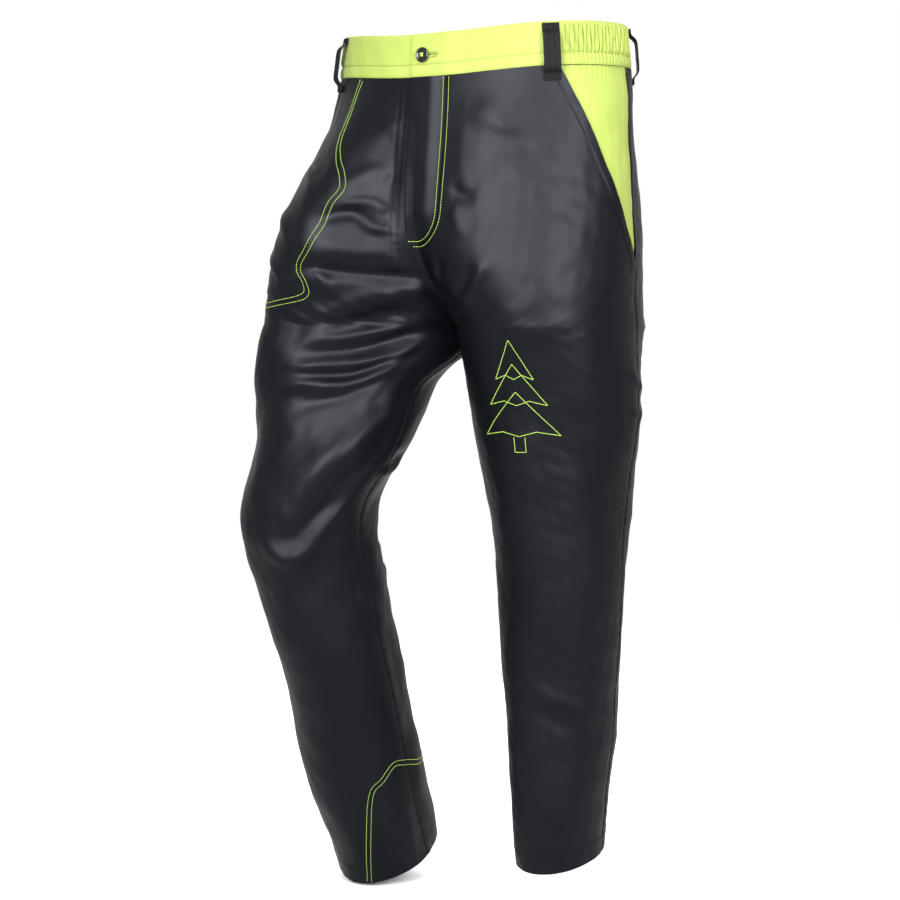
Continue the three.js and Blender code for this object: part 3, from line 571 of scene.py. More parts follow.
def cloth_material(name, colour, shade, roughness, weave, bump, sheen=0.0, specular=0.3, tint=WHITE,
                   direction=0.0, lower=None):
    """Woven cloth: twill lines about weave metres apart in its bump, and slow changes of tone.

    direction stretches the highlights along the cloth, and lower is the roughness of the lower legs.
    """
    material, tree, shader = shader_tree(
        name,
        Specular_IOR_Level=specular,
        Specular_Tint=(*tint, 1),
        Sheen_Weight=sheen,
        Sheen_Roughness=0.4,
        Anisotropic=direction,
    )
    uv_node = add_node(tree, "UVMap")
    uv_node.uv_map = "UVMap"
    uv = uv_node.outputs[0]
    lines = []
    for turn in (math.radians(62), math.radians(-28)):
        spin = add_node(tree, "Mapping", Vector=uv, Rotation=(0, 0, turn))
        wave = add_node(tree, "TexWave", Vector=spin.outputs[0], Scale=0.314 / weave, Distortion=0.6, Detail=0)
        lines.append(wave.outputs["Fac"])
    tone = add_node(tree, "TexNoise", Vector=uv, Scale=9, Detail=5).outputs["Fac"]
    slub = add_node(tree, "TexNoise", Vector=uv, Scale=420, Detail=2).outputs["Fac"]
    grain = math_node(tree, "MULTIPLY_ADD", slub, 0.5, math_node(tree, "MULTIPLY", tone, 0.7))
    two_tones(tree, shader, grain, shade, colour, 0.35, 0.78)
    rough = map_range(tree, grain, To_Min=roughness - 0.04, To_Max=roughness + 0.05)
    if lower is not None:
        level = add_node(tree, "SeparateXYZ", uv).outputs["Y"]
        more = map_range(tree, level, "SMOOTHSTEP", From_Min=-0.52, From_Max=-0.66, To_Max=lower - roughness)
        rough = math_node(tree, "ADD", rough, more)
    tree.links.new(rough, shader.inputs["Roughness"])
    if direction:
        tangent = add_node(tree, "Tangent")
        tangent.direction_type = "UV_MAP"
        tangent.uv_map = "UVMap"
        tree.links.new(tangent.outputs[0], shader.inputs["Tangent"])
    add_bump(tree, shader, math_node(tree, "MULTIPLY_ADD", lines[1], 0.45, lines[0]), 0.7, bump)
    return material


def solid_material(name, colour, shade, roughness, metallic=0.0, coat=0.0, scale=300.0, specular=0.5):
    """Metal, plastic or thread: a fine grain in its colour, roughness and bump."""
    material, tree, shader = shader_tree(
        name, Metallic=metallic, Specular_IOR_Level=specular, Coat_Weight=coat
    )
    place = add_node(tree, "TexCoord").outputs["Object"]
    grain = add_node(tree, "TexNoise", Vector=place, Scale=scale, Detail=4).outputs["Fac"]
    two_tones(tree, shader, grain, shade, colour, 0.3, 0.7)
    rough = map_range(tree, grain, To_Min=max(roughness - 0.06, 0.02), To_Max=roughness + 0.1)
    tree.links.new(rough, shader.inputs["Roughness"])
    add_bump(tree, shader, grain, 0.3, 0.00004)
    return material


satin = cloth_material(
    "satin_black", (0.0010, 0.0011, 0.0016), (0.0006, 0.0007, 0.0010), 0.40,
    weave=0.0007, bump=0.00003, specular=0.075, tint=(0.86, 0.9, 1.0), direction=0.3, lower=0.5,
)
inner_satin = cloth_material(
    "satin_inside", (0.005, 0.0052, 0.0057), (0.003, 0.0032, 0.0037), 0.62,
    weave=0.0007, bump=0.00004, specular=0.08,
)
yellow = cloth_material(
    "twill_yellow", (0.122, 0.150, 0.031), (0.103, 0.138, 0.021), 0.72,
    weave=0.0009, bump=0.00007, sheen=0.05, specular=0.15,
)
strap = cloth_material(
    "twill_black", (0.002, 0.0021, 0.0025), (0.0012, 0.0013, 0.0016), 0.7,
    weave=0.0011, bump=0.00012, specular=0.07,
)
lining_mesh = cloth_material(
    "mesh_grey", (0.05, 0.053, 0.057), (0.03, 0.032, 0.035), 0.8, weave=0.0022, bump=0.00022, specular=0.2
)
pad_fibre = cloth_material(
    "fibre_cream", (0.36, 0.345, 0.29), (0.27, 0.26, 0.21), 0.9,
    weave=0.0028, bump=0.0004, sheen=0.2, specular=0.15,
)
elastic_white = cloth_material(
    "elastic_white", (0.36, 0.36, 0.345), (0.29, 0.29, 0.275), 0.8, weave=0.0016, bump=0.0003, specular=0.2
)
pocket_cotton = cloth_material(
    "cotton_grey", (0.03, 0.032, 0.035), (0.02, 0.021, 0.024), 0.85, weave=0.0008, bump=0.00008, specular=0.2
)
tape_black = solid_material(
    "tape_black", (0.004, 0.004, 0.0045), (0.002, 0.002, 0.0024), 0.78, scale=900, specular=0.12
)
brass = solid_material("brass", (0.55, 0.40, 0.16), (0.38, 0.27, 0.10), 0.30, metallic=1.0, scale=160)
button_black = solid_material(
    "button_black", (0.002, 0.002, 0.002), (0.001, 0.001, 0.001), 0.16, coat=0.25, scale=60, specular=0.2
)
thread_yellow = solid_material(
    "thread_yellow", (0.135, 0.205, 0.03), (0.10, 0.165, 0.018), 0.5, scale=2400, specular=0.2
)
thread_black = solid_material(
    "thread_black", (0.001, 0.001, 0.0012), (0.0005, 0.0005, 0.0006), 0.6, scale=2400, specular=0.04
)
thread_band = solid_material(
    "thread_band", (0.10, 0.125, 0.02), (0.08, 0.105, 0.014), 0.6, scale=2400, specular=0.2
)


# ---- shell panels ----
PITCH = 3.2
SEAM_GAP = 0.00005


def fly_limit(z):
    """The share of the fly's stitched edge, which is straight and then rounds in to the centre."""
    t = np.clip((FLY_BOTTOM + FLY_ROUND - z) / FLY_ROUND, 0, 1)
    return FLY_STITCH * np.sqrt(np.maximum(0, 1 - t * t * 0.96))


def mouth_share(z):
    """The share of the slanting pocket mouth."""
    return mix(POCKET_TOP, SIDE_SEAM, np.clip((z - SHELL_TOP) / (POCKET_LOW - SHELL_TOP), 0, 1))


def levels_between(top, bottom, pitch):
    return np.linspace(top, bottom, max(3, int(round((top - bottom) / pitch)) + 1))[:, None]


def shares_between(start, end, many):
    return np.linspace(start, end, many)[None, :]


def front_start(side, z):
    """Where the front panel begins: the fly's stitched edge on the left, the zip's edge on the right."""
    if side > 0:
        return np.where(z > FLY_BOTTOM, fly_limit(z) + 0.0004, SEAM_GAP)
    return SEAM_GAP + 0.0165 * smooth((z + 222) / 14)


def panel_rows(side):
    upper = levels_between(SHELL_TOP, FLY_BOTTOM + 0.4, PITCH)
    return np.concatenate([upper, levels_between(FLY_BOTTOM - 0.4, HEM[side], PITCH)])


def mouth_lip(side, u, z):
    """The turned edge of the pocket mouth, as far as its row of stitches."""
    edge = (mouth_share(z) - u) * girth(side, z)
    lip = np.where(z > POCKET_LOW, 0.7 * (1 - smooth((edge - 13) / 4)) - 0.7 * near(edge - 14, 1.5), 0)
    return lip * smooth((SHELL_TOP - z) / 12)


def front_seam(u, z):
    """The puckered double row beside the zip on the right front."""
    at = (u - 0.0415) * girth(-1, z)
    pucker = 0.22 * np.sin(z / 1.5 + 0.9 * np.sin(z / 11)) * near(at, 6)
    return (pucker - 0.45 * near(np.abs(at) - 3.4, 1.2)) * smooth((z + 285) / 15)


for side, word in SIDES:
    z = panel_rows(side)
    start = front_start(side, z)
    end = np.where(z > POCKET_LOW, mouth_share(z), SIDE_SEAM) - SEAM_GAP
    u = mix(start, end, shares_between(0, 1, 108))
    height = mouth_lip(side, u, z)
    if side > 0:
        height = height - 0.6 * near((u - start) * girth(side, z), 3) * (z > FLY_BOTTOM)
    else:
        height = height + front_seam(u, z)
    front = layer(f"shell_front_{word}", side, u, z, height, height - CLOTH, satin)
    declare(front, "trousers", f"front_panel_{word}")
    u = shares_between(SIDE_SEAM + SEAM_GAP, 1 - SEAM_GAP, 96)
    back = layer(f"shell_back_{word}", side, u, z, 0.0, -CLOTH, satin)
    declare(back, "trousers", f"back_panel_{word}")
    z = levels_between(HEM[side] + HEM_HEIGHT, HEM[side] + 1, 3)
    u = np.linspace(0, 1, 150, endpoint=False)[None, :]
    hem = layer(f"hem_turn_{word}", side, u, z, -CLOTH - GAP, -2 * CLOTH - GAP, inner_satin, ring=True)
    declare(hem, "trousers", f"hem_facing_{word}")


# ---- fly flap, facing and shield ----
def flap_rise(s, z):
    """Over the zip the flap stands off the body, and below the zip it lies down on the right panel."""
    over_zip = 4.4 * (1 - smooth((s - 0.022) / 0.032))
    below_zip = 1.7 * (1 - smooth((s + 0.002) / 0.014)) + 0.05
    return mix(below_zip, over_zip, smooth((z + 250) / 32))


def facing_out(s):
    return -CLOTH - GAP - 5.3 * (1 - smooth((s - 0.03) / 0.026))


def shield_out(s):
    return -CLOTH - GAP - 9.0 * smooth((s + 0.07) / 0.03)


z = levels_between(FLY_TOP, FLY_BOTTOM + 0.6, 2.2)
s = mix(FLY_EDGE, fly_limit(z) - 0.0006, shares_between(0, 1, 34))
ripple = 0.25 * np.sin(z / 9 + 40 * s) * smooth((s - FLY_EDGE) / 0.02)
fold_edge = -0.5 * near((s - FLY_EDGE) * HALF_ROUND, 1.2)
flat_end = smooth((z + 252) / 20)
rise = flap_rise(s, z) + ripple * flat_end + fold_edge * flat_end
flap = joined_layer("fly_flap_cloth", s, z, rise, rise - CLOTH, satin, 0)
declare(flap, "fly", "fly_flap")

z = levels_between(FLY_TOP - 0.3, FLY_BOTTOM + 12, 4)
for node, start, end, depth in (
    ("fly_facing", 0.0145, 0.07, facing_out),
    ("fly_shield", -0.08, 0.034, shield_out),
):
    s = shares_between(start, end, 26)
    piece = joined_layer(f"{node}_cloth", s, z, depth(s), depth(s) - 0.9, inner_satin)
    declare(piece, "trousers", node)


# ---- waistband ----
CREASE = -0.73 * BAND_HEIGHT
BAND_RAISE = BAND_THICK + GAP
GATHER = 7.4


def band_edges(z):
    """Both long edges of a band are folded, so its face rounds over there, and a seam runs along it."""
    from_edge = np.minimum(-z, z + BAND_HEIGHT)
    return -1.1 * near(from_edge, 1.3) - 1.2 * near(z - CREASE, 1.2)


def plain_band(s, z):
    slow = 0.35 * np.sin(s * 37 + 1) * np.sin(z / 17 + 0.8) + 0.2 * np.sin(s * 90 + z / 12)
    return slow * near(z - CREASE, 30) + band_edges(z)


def raised_band(s, z):
    """The left front band, which laps over the right one."""
    return plain_band(s, z) + BAND_RAISE * (1 - smooth((s - 0.052) / 0.05))


def gathered_band(s, z):
    x = np.abs(s) * HALF_ROUND
    above = smooth((z - CREASE) / 5)
    gather = np.sin(2 * math.pi * x / GATHER + 0.9 * np.sin(x / 17) + 0.35 * np.sin(z / 7))
    gather = gather + 0.45 * np.sin(2 * math.pi * x / 4.6 + z / 9 + 2)
    ends = smooth((np.abs(s) - 0.300) / 0.02) * smooth((0.600 - np.abs(s)) / 0.03)
    pull = near(z - CREASE, 2.4)
    top = smooth(-z / 6)
    height = 1.35 * gather * (0.35 + 0.65 * above) * top * smooth((z + BAND_HEIGHT) / 7)
    return ends * (height - 1.1 * pull * (1 + 0.5 * np.sin(2 * math.pi * x / 5.2))) + band_edges(z)


def band(place, start, end, count, outside):
    s = shares_between(start, end, count)
    z = levels_between(0, -BAND_HEIGHT, 1.25)
    top = outside(s, z)
    thick = BAND_THICK - 1.3 * near(np.minimum(-z, z + BAND_HEIGHT), 1.3)
    inner = np.minimum(top - 1.0, top - thick)
    piece = joined_layer(f"band_{place}", s, z, top, inner, yellow, 0)
    return declare(piece, "trousers", f"waistband_{place}")


band("front_right", -FRONT_LOOP, 0.0465, 120, plain_band)
left_band = band("front_left", FLY_EDGE, FRONT_LOOP, 120, raised_band)
for side, word in SIDES:
    first, last = sorted((side * FRONT_LOOP, side * BAND_BACK))
    band(f"side_{word}", first, last, 260, gathered_band)
band("back", BAND_BACK, 2 - BAND_BACK, 240, plain_band)

for side, word in SIDES:
    s = side * shares_between(0.3, 0.6, 120)
    z = levels_between(-8, -BAND_HEIGHT + 8, 3)
    wave = 0.25 * np.sin(np.abs(s) * HALF_ROUND * 2 * math.pi / GATHER)
    outer = -BAND_THICK - 2.2 + wave
    inner = -BAND_THICK - 3.4 + wave
    piece = joined_layer(f"elastic_{word}", s, z, outer, inner, elastic_white, 0)
    declare(piece, "trousers", f"waist_elastic_{word}")


# ---- pockets ----
BAG_FOLD = 0.2265
FACING_START = 0.2365


def pocket_drop(u, z):
    width = np.maximum(SIDE_SEAM - mouth_share(z), 0.05)
    return CLOTH + GAP + 0.3 + POCKET_DEPTH * smooth((SIDE_SEAM - u) / width)


def facing_drop(u, z):
    """The facing lies close under the mouth and only drops away further in."""
    inside = np.maximum(mouth_share(z) - u, 0) * HALF_ROUND
    turn = 2 * math.pi * u * HALF_ROUND / 9 + 1.5 * np.sin(u * 40)
    gathers = 0.5 * (1 + np.sin(turn)) * np.exp((z - SHELL_TOP) / 18)
    slack = 0.45 * (1 + np.sin(z / 21 + u * 16))
    close = CLOTH + GAP + 0.2 + 1.2 * smooth((SIDE_SEAM - u) / 0.05)
    return close + 4.6 * smooth(inside / 30) + gathers + slack


def pocket_bag(side, word):
    """One sheet: from the mouth forwards under the front panel, round its fold, and back behind the facing."""
    t, z = np.broadcast_arrays(shares_between(0, 1, 80), levels_between(SHELL_TOP, POCKET_FLOOR, 4))
    under = t < 0.5
    mouth = np.minimum(mouth_share(z) - 0.012, 0.5)
    forwards = mix(mouth, BAG_FOLD, np.clip(t / 0.5, 0, 1))
    u = np.where(under, forwards, mix(BAG_FOLD, 0.5, np.clip(t / 0.5 - 1, 0, 1)))
    deep = pocket_drop(u, z) + 2.4
    apart = smooth((u - BAG_FOLD) / 0.02) * smooth((z - POCKET_FLOOR) / 14)
    depth = np.where(under, mix(deep, CLOTH + 2 * GAP + 0.1, apart), deep)
    depth = np.where(under & (apart < 0.9), np.minimum(depth, deep - 0.8), depth)
    outer = cloth_point(side, u, z, -depth)
    inner = cloth_point(side, u, z, -depth - THIN_CLOTH)
    return sheet_object(f"pocket_sack_{word}", outer, inner, side * (0.5 * t), z, pocket_cotton)


for side, word in SIDES:
    z = levels_between(SHELL_TOP, POCKET_FLOOR + 6, 3.5)
    u = shares_between(FACING_START, SIDE_SEAM - SEAM_GAP, 70)
    drop = facing_drop(u, z)
    facing = layer(f"pocket_face_{word}", side, u, z, -drop, -drop - 0.8, yellow)
    declare(facing, "trousers", f"pocket_facing_{word}")
    bag = pocket_bag(side, word)
    declare(bag, "trousers", f"pocket_bag_{word}")


# ---- cut pads and lining ----
def below_band(z):
    return smooth((-z - BAND_HEIGHT * 0.6) / (BAND_HEIGHT * 0.4))


def step_in(z):
    """How far the pads and lining stand back to make room for the pocket bags."""
    return (POCKET_DEPTH + 3.8) * below_band(z) * (1 - smooth((-z - RISE * 0.93) / 55))


for side, word in SIDES:
    for k in range(PLIES):
        z = levels_between(-RISE * 0.372 - 8 * k, HEM[side] + 50 + 8 * k, 6)
        u = shares_between(0.11, 0.475, 56)
        quilt = 0.12 * np.sin(u * HALF_ROUND / 5) * np.sin(z / 5)
        depth = CLOTH + GAP + 0.35 + k * (PLY + GAP) + step_in(z) - quilt
        pad = layer(f"pad_ply_{word}_{k + 1}", side, u, z, -depth, -depth - PLY + 0.1, pad_fibre)
        declare(pad, "trousers", f"cut_pad_{word}_{k + 1}")
    z = levels_between(-BAND_HEIGHT * 0.6, HEM[side] + 30, 5)
    u = shares_between(0.08, 0.52, 70)
    under = CLOTH + GAP + PLIES * (PLY + GAP) + 0.4
    at_band = BAND_THICK + 2 * GAP + 1.6
    depth = mix(at_band, under, below_band(z)) + step_in(z)
    lining = layer(f"lining_sheet_{word}", side, u, z, -depth, -depth - THIN_CLOTH, lining_mesh)
    declare(lining, "trousers", f"lining_front_{word}")


# ---- belt loops ----
STRAP_THICK = 1.9
STRAP_ROW = 3.3
# distance from the body and down the loop, from its top end to its bottom end
STRAP_PROFILE = [
    (1.0, 0.2),
    (1.0, 5),
    (2.2, 8.5),
    (6.2, 12.8),
    (8.0, 18),
    (8.15, 33),
    (8.0, 48),
    (6.2, 53.2),
    (2.2, 57.5),
    (1.0, 61),
    (1.0, 65.8),
]
LOOPS = {
    "front_left": FRONT_LOOP,
    "front_right": -FRONT_LOOP,
    "side_left": BACK_LOOP,
    "side_right": -BACK_LOOP,
    "back": 1.0,
}


def line_length(points):
    """How far along its line each point lies."""
    return np.concatenate([[0], np.cumsum(np.linalg.norm(np.diff(points, axis=0), axis=1))])


def smooth_strap(profile, steps):
    """A strap's middle line through its bends, with even steps, and the way its outer face looks."""
    bends = rounded_path(profile, 10)
    length = line_length(bends)
    even = np.linspace(0, length[-1], steps)
    line = np.stack([np.interp(even, length, bends[:, 0]), np.interp(even, length, bends[:, 1])], -1)
    way = unit(np.gradient(line, axis=0))
    return line, np.stack([way[:, 1], -way[:, 0]], -1)


def loop_frame(share):
    """A loop's top point on the band, and the ways out of the cloth, down the loop and across it."""
    high = joined_point(share, -2.0, 0, 0)
    low = joined_point(share, -2.0 - LOOP_HEIGHT, 0, 0)
    before = joined_point(share - 0.012, -30.0, 0, 0)
    after = joined_point(share + 0.012, -30.0, 0, 0)
    down = unit(low - high)
    out = unit(np.cross(down, after - before))
    if out[0] * high[0] + out[1] * high[1] < 0:
        out = -out
    return high + out * (GAP + 0.35), out, down, unit(np.cross(down, out))


def strap_face(place, line, face, sign):
    """The outer face of a strap, with its weave and two stitched grooves, or its plain back for sign -1."""
    origin, out, down, across = place
    w = np.linspace(-LOOP_WIDTH / 2, LOOP_WIDTH / 2, 41)
    half = STRAP_THICK / 2 * (1 - 0.55 * np.exp(-((LOOP_WIDTH / 2 - np.abs(w)) / 0.6)))
    if sign > 0:
        half = half + (0.10 * np.sin(2 * math.pi * w / 2.2) - 0.28 * near(np.abs(w) - STRAP_ROW, 0.5))
    flat = line[:, None, :] + face[:, None, :] * (sign * half)[None, :, None]
    return origin + flat[..., :1] * out + flat[..., 1:] * down + w[None, :, None] * across


strap_line, strap_out = smooth_strap(STRAP_PROFILE, 90)
for name, share in LOOPS.items():
    place = loop_frame(share)
    faces = [strap_face(place, strap_line, strap_out, sign) for sign in (1, -1)]
    across = shares_between(-LOOP_WIDTH / 2, LOOP_WIDTH / 2, 41) / HALF_ROUND
    piece = sheet_object(f"loop_{name}", *faces, across, -strap_line[:, 1][:, None], strap)
    declare(piece, "trousers", f"belt_loop_{name}")


# ---- stitching: every stitch is its own little thread, dipping into the cloth at both ends ----
# along the stitch, share of its radius, and how far it stands up, from end to end
STITCH_STATIONS = np.array([
    (-0.5, 0.25, -0.35),
    (-0.36, 0.85, 0.25),
    (0.0, 1.0, 0.55),
    (0.36, 0.85, 0.25),
    (0.5, 0.25, -0.35),
])
STITCH_SIDES = 6
ROW_SPACE = 2.8
BLACK_SPACE = 3.4


def tube_faces(base, rings, around):
    """The faces of a closed tube whose points start at base, ring after ring."""
    faces = []
    for row in range(rings - 1):
        for i in range(around):
            a = base + row * around + i
            b = base + row * around + (i + 1) % around
            faces.append((a, b, b + around, a + around))
    faces.append(tuple(base + i for i in reversed(range(around))))
    faces.append(tuple(base + (rings - 1) * around + i for i in range(around)))
    return faces


def stitches(name, lines, material, body="trousers", pitch=3.3, radius=0.36, fill=0.84):
    """lines are (points, normals) pairs in mm. One mesh holds all the stitches of a seam."""
    turns = np.linspace(0, 2 * math.pi, STITCH_SIDES, endpoint=False)
    rings = []
    faces = []
    for points, normals in lines:
        length = line_length(points)
        many = max(1, int(length[-1] / pitch))
        step = length[-1] / many
        for k in range(many):
            reach = [(k + 0.5 + end * fill) * step for end in STITCH_STATIONS[:, 0]]
            centre = np.stack([np.interp(reach, length, points[:, c]) for c in range(3)], -1)
            normal = unit(np.stack([np.interp(reach, length, normals[:, c]) for c in range(3)], -1))
            way = unit(centre[-1] - centre[0])
            side_way = unit(np.cross(way, normal[2]))
            faces += tube_faces(len(rings) * STITCH_SIDES, len(STITCH_STATIONS), STITCH_SIDES)
            for (_, size, lift), spot, up in zip(STITCH_STATIONS, centre, normal):
                middle = spot + up * radius * lift
                circle = np.cos(turns)[:, None] * side_way + np.sin(turns)[:, None] * up
                rings.append(middle + circle * radius * size)
    piece = new_object(name, np.concatenate(rings), faces, material)
    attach(piece, body)


def dense_line(line, round_length):
    """The shares and levels of a line, with a point about every 1.2 mm."""
    dense = []
    for a, b in zip(line, line[1:]):
        many = max(2, int(np.hypot((b[0] - a[0]) * round_length, b[1] - a[1]) / 1.2))
        dense.append(a + (b - a) * np.linspace(0, 1, many, endpoint=False)[:, None])
    line = np.concatenate([*dense, line[-1:]])
    return line[:, 0], line[:, 1]


def moved_sideways(s, z, scale, shift, evened=0):
    """A line moved over the cloth by shift millimetres, at right angles to its way."""
    way = np.stack([np.gradient(s * scale), np.gradient(z)], -1)
    for _ in range(evened):
        way[1:-1] = (way[:-2] + way[1:-1] * 2 + way[2:]) / 4
    way = unit(way)
    return s - way[:, 1] * shift / scale, z + way[:, 0] * shift


def on_cloth(path, offset=0.15, shift=0.0, out=None, steps=12, folds=1.0, corners=True):
    """A line over the cloth through signed shares and levels; out gives another height than the cloth's."""
    s, z = dense_line(rounded_path(path, steps) if corners else np.array(path, float), HALF_ROUND)
    scale = girth(1 if s.mean() > 0 else -1, z)
    s, z = moved_sideways(s, z, scale, shift, 3)
    height = offset if out is None else out(s, z) + offset
    base = joined_point(s, z, height, folds)
    lifted = joined_point(s, z, np.asarray(height) + 1.0, folds)
    return base, unit(lifted - base)


def leg_line(side, path, offset=0.15, shift=0.0):
    """The same on one leg, where the share may pass the inseam."""
    u, z = dense_line(rounded_path(path, 12), LEG_ROUND)
    u, z = moved_sideways(u, z, girth(side, z), shift)
    u = u % 1.0
    return cloth_point(side, u, z, offset), plain_normal(side, u, z)


half_turn = girth(1, -150.0)


def fly_line(away, start_z):
    """The J of the fly, away millimetres outside the flap's stitched edge."""
    wide = FLY_STITCH + away / half_turn
    bend = FLY_BOTTOM + FLY_ROUND
    line = [(wide, start_z), (wide, bend)]
    for angle in np.linspace(0, math.pi / 2, 14)[1:]:
        line.append((wide * math.cos(angle), bend - (FLY_ROUND + away) * math.sin(angle)))
    return line


inner_j = fly_line(-3.2, FLY_TOP - 1) + [(FLY_EDGE + 0.002, FLY_BOTTOM + 3.2)]
outer_j = fly_line(3.2, SHELL_TOP - 1) + [(-0.012, FLY_BOTTOM - 3.2)]
inner_row = on_cloth(inner_j, 0.2, out=flap_rise, folds=0, corners=False)
stitches("stitch_fly_inner", [inner_row], thread_yellow, "fly")
stitches("stitch_fly_outer", [on_cloth(outer_j, 0.2, corners=False)], thread_yellow)

# the angular double row on the wearer's right front, from the band down to a corner and back to the side seam
FRONT_LINE = [
    (-0.17, -53),
    (-0.18, -75),
    (-0.17, -130),
    (-0.15, -155),
    (-0.13, -172),
    (-0.12, -190),
    (-0.13, -208),
    (-0.135, -230),
    (-0.15, -250),
    (-0.165, -266),
    (-0.185, -280),
    (-0.19, -290),
    (-0.185, -304),
    (-0.205, -320),
    (-0.31, -330),
    (-0.42, -336),
    (-0.535, -340),
]
# the same above the right hem, from the front of the leg over the inseam to its back
SHIN_LINE = [
    (0.195, -1034),
    (0.16, -972),
    (0.125, -921),
    (0.085, -909),
    (0.04, -898),
    (0.0, -905),
    (-0.06, -920),
    (-0.12, -925),
]
front_rows = [on_cloth(FRONT_LINE, 0.15, shift, steps=5) for shift in (-ROW_SPACE, ROW_SPACE)]
stitches("stitch_front_right", front_rows, thread_yellow)
shin_rows = [leg_line(-1, SHIN_LINE, 0.15, shift) for shift in (-ROW_SPACE, ROW_SPACE)]
stitches("stitch_hem_right", shin_rows, thread_yellow)

# black on black: beside the zip, at the pocket mouths, side seams, hems and centre back
ZIP_LINE = [(-0.046, -53), (-0.0395, -110), (-0.036, -170), (-0.039, -225), (-0.044, -283)]
black_rows = [on_cloth(ZIP_LINE, 0.1, shift) for shift in (-BLACK_SPACE, BLACK_SPACE)]
for side, word in SIDES:
    mouth = []
    for z in np.linspace(SHELL_TOP - 2, POCKET_LOW - 14, 24):
        mouth.append((side * (mouth_share(z) - 14.0 / girth(side, z)), z))
    black_rows.append(on_cloth(mouth, 0.1, corners=False))
    seam = [(SIDE_SEAM + 0.006, z) for z in np.linspace(POCKET_LOW - 4, HEM[side] + 4, 30)]
    black_rows.append(leg_line(side, seam, 0.05))
    hem = [(u, HEM[side] + HEM_HEIGHT - 2) for u in np.linspace(0.004, 0.996, 40)]
    black_rows.append(leg_line(side, hem, 0.05))
back_seam = [(0.994, z) for z in np.linspace(SHELL_TOP - 2, -RISE + 26, 20)]
for side, word in SIDES:
    black_rows.append(leg_line(side, back_seam, 0.05))
stitches("stitch_black", black_rows, thread_black, pitch=3.1, radius=0.26)

# two rows down each belt loop, and two bars across each of its ends
loop_rows = []
for share in LOOPS.values():
    origin, out, down, across = loop_frame(share)
    line = strap_line[3:-3]
    face = strap_out[3:-3]
    for w in (-STRAP_ROW, STRAP_ROW):
        flat = line + face * (STRAP_THICK / 2 - 0.2)
        normal = face[:, :1] * out + face[:, 1:] * down
        loop_rows.append((origin + flat[:, :1] * out + flat[:, 1:] * down + w * across, normal))
    for level in (2.2, 3.6, 62.4, 63.8):
        w = np.linspace(-8.6, 8.6, 12)[:, None]
        start = origin + (1.0 + STRAP_THICK / 2) * out + level * down
        loop_rows.append((start + w * across, np.broadcast_to(out, (12, 3))))
stitches("stitch_loops", loop_rows, thread_black, pitch=2.8, radius=0.24)


def crease_row(start, end, many):
    return [(s, CREASE) for s in np.linspace(start, end, many)]


lap_row = [(FLY_EDGE + 0.003, z) for z in np.linspace(-2, CREASE - 12, 12)]
band_rows = []
for row, outside in (
    (crease_row(0.004 - FRONT_LOOP, -0.024, 30), plain_band),
    (crease_row(0.0, FRONT_LOOP - 0.004, 30), raised_band),
    (lap_row, raised_band),
    (crease_row(BAND_BACK + 0.004, 2 - BAND_BACK - 0.004, 60), plain_band),
):
    band_rows.append(on_cloth(row, 0.0, out=outside, folds=0, corners=False))
stitches("stitch_band", band_rows, thread_band, pitch=3.0, radius=0.22)


# ---- embroidered fir tree on the left thigh: three stacked outlines and a trunk ----
TREE_SHARE = 0.275
TREE_TOP = -368.0
THIGH_ROUND = 640


def tree_outline():
    """Millimetres across and down from the tip of the tree."""
    tiers = []
    for top, height, half in ((0, 44, 24), (27, 46, 37), (58, 50, 50)):
        low = top + height
        notch = half * 0.42
        right = [(0, top), (half, low), (notch, low - 5), (0, low)]
        left = [(-notch, low - 5), (-half, low), (0, top)]
        tiers.append(right + left)
    tiers.append([(-7, 109), (-7, 126), (7, 126), (7, 109)])
    return tiers


tree_rows = []
for tier in tree_outline():
    corners = []
    for (x0, y0), (x1, y1) in zip(tier, tier[1:]):
        for t in np.linspace(0, 1, 10, endpoint=False):
            corners.append((mix(x0, x1, t), mix(y0, y1, t)))
    corners.append(tier[-1])
    path = [(TREE_SHARE + x / THIGH_ROUND, TREE_TOP - y) for x, y in corners]
    tree_rows.append(on_cloth(path, 0.12, corners=False))
stitches("fir_tree_embroidery", tree_rows, thread_yellow, pitch=1.9, radius=0.5, fill=1.0)


# ---- button, its thread and its hole ----
BUTTON_SHARE = 0.0066
HOLE = 1.7


def turned(name, profile, material, segments=72):
    """A solid of revolution; the profile's (radius, height) points start and end on the axis."""
    points = [(0, 0, profile[0][1])]
    for radius, height in profile[1:-1]:
        for angle in np.linspace(0, 2 * math.pi, segments, endpoint=False):
            points.append((radius * math.cos(angle), radius * math.sin(angle), height))
    points.append((0, 0, profile[-1][1]))
    last = len(points) - 1
    faces = []
    for i in range(segments):
        a = 1 + i
        b = 1 + (i + 1) % segments
        faces.append((0, b, a))
        for _ in profile[2:-1]:
            faces.append((a, b, b + segments, a + segments))
            a += segments
            b += segments
        faces.append((a, b, last))
    return new_object(name, np.array(points, float), faces, material)


def rod(radius, start, end, segments=20):
    """The points and faces of a round rod."""
    ends = np.array((start, end), float)
    way = unit(ends[1] - ends[0])
    side_way = unit(np.cross(way, (1.0, 0.3, 0.2)))
    other = np.cross(way, side_way)
    angles = np.linspace(0, 2 * math.pi, segments, endpoint=False)
    circle = np.cos(angles)[:, None] * side_way + np.sin(angles)[:, None] * other
    points = np.concatenate([end + circle * radius for end in ends])
    return points, tube_faces(0, 2, segments)


def cut_away(piece, cutter):
    change = piece.modifiers.new("cut", "BOOLEAN")
    change.operation = "DIFFERENCE"
    change.solver = "EXACT"
    change.object = cutter
    bpy.context.view_layer.update()
    done = bpy.data.meshes.new_from_object(piece.evaluated_get(bpy.context.evaluated_depsgraph_get()))
    piece.modifiers.clear()
    old = piece.data
    piece.data = done
    bpy.data.meshes.remove(old)
    bpy.data.objects.remove(cutter)


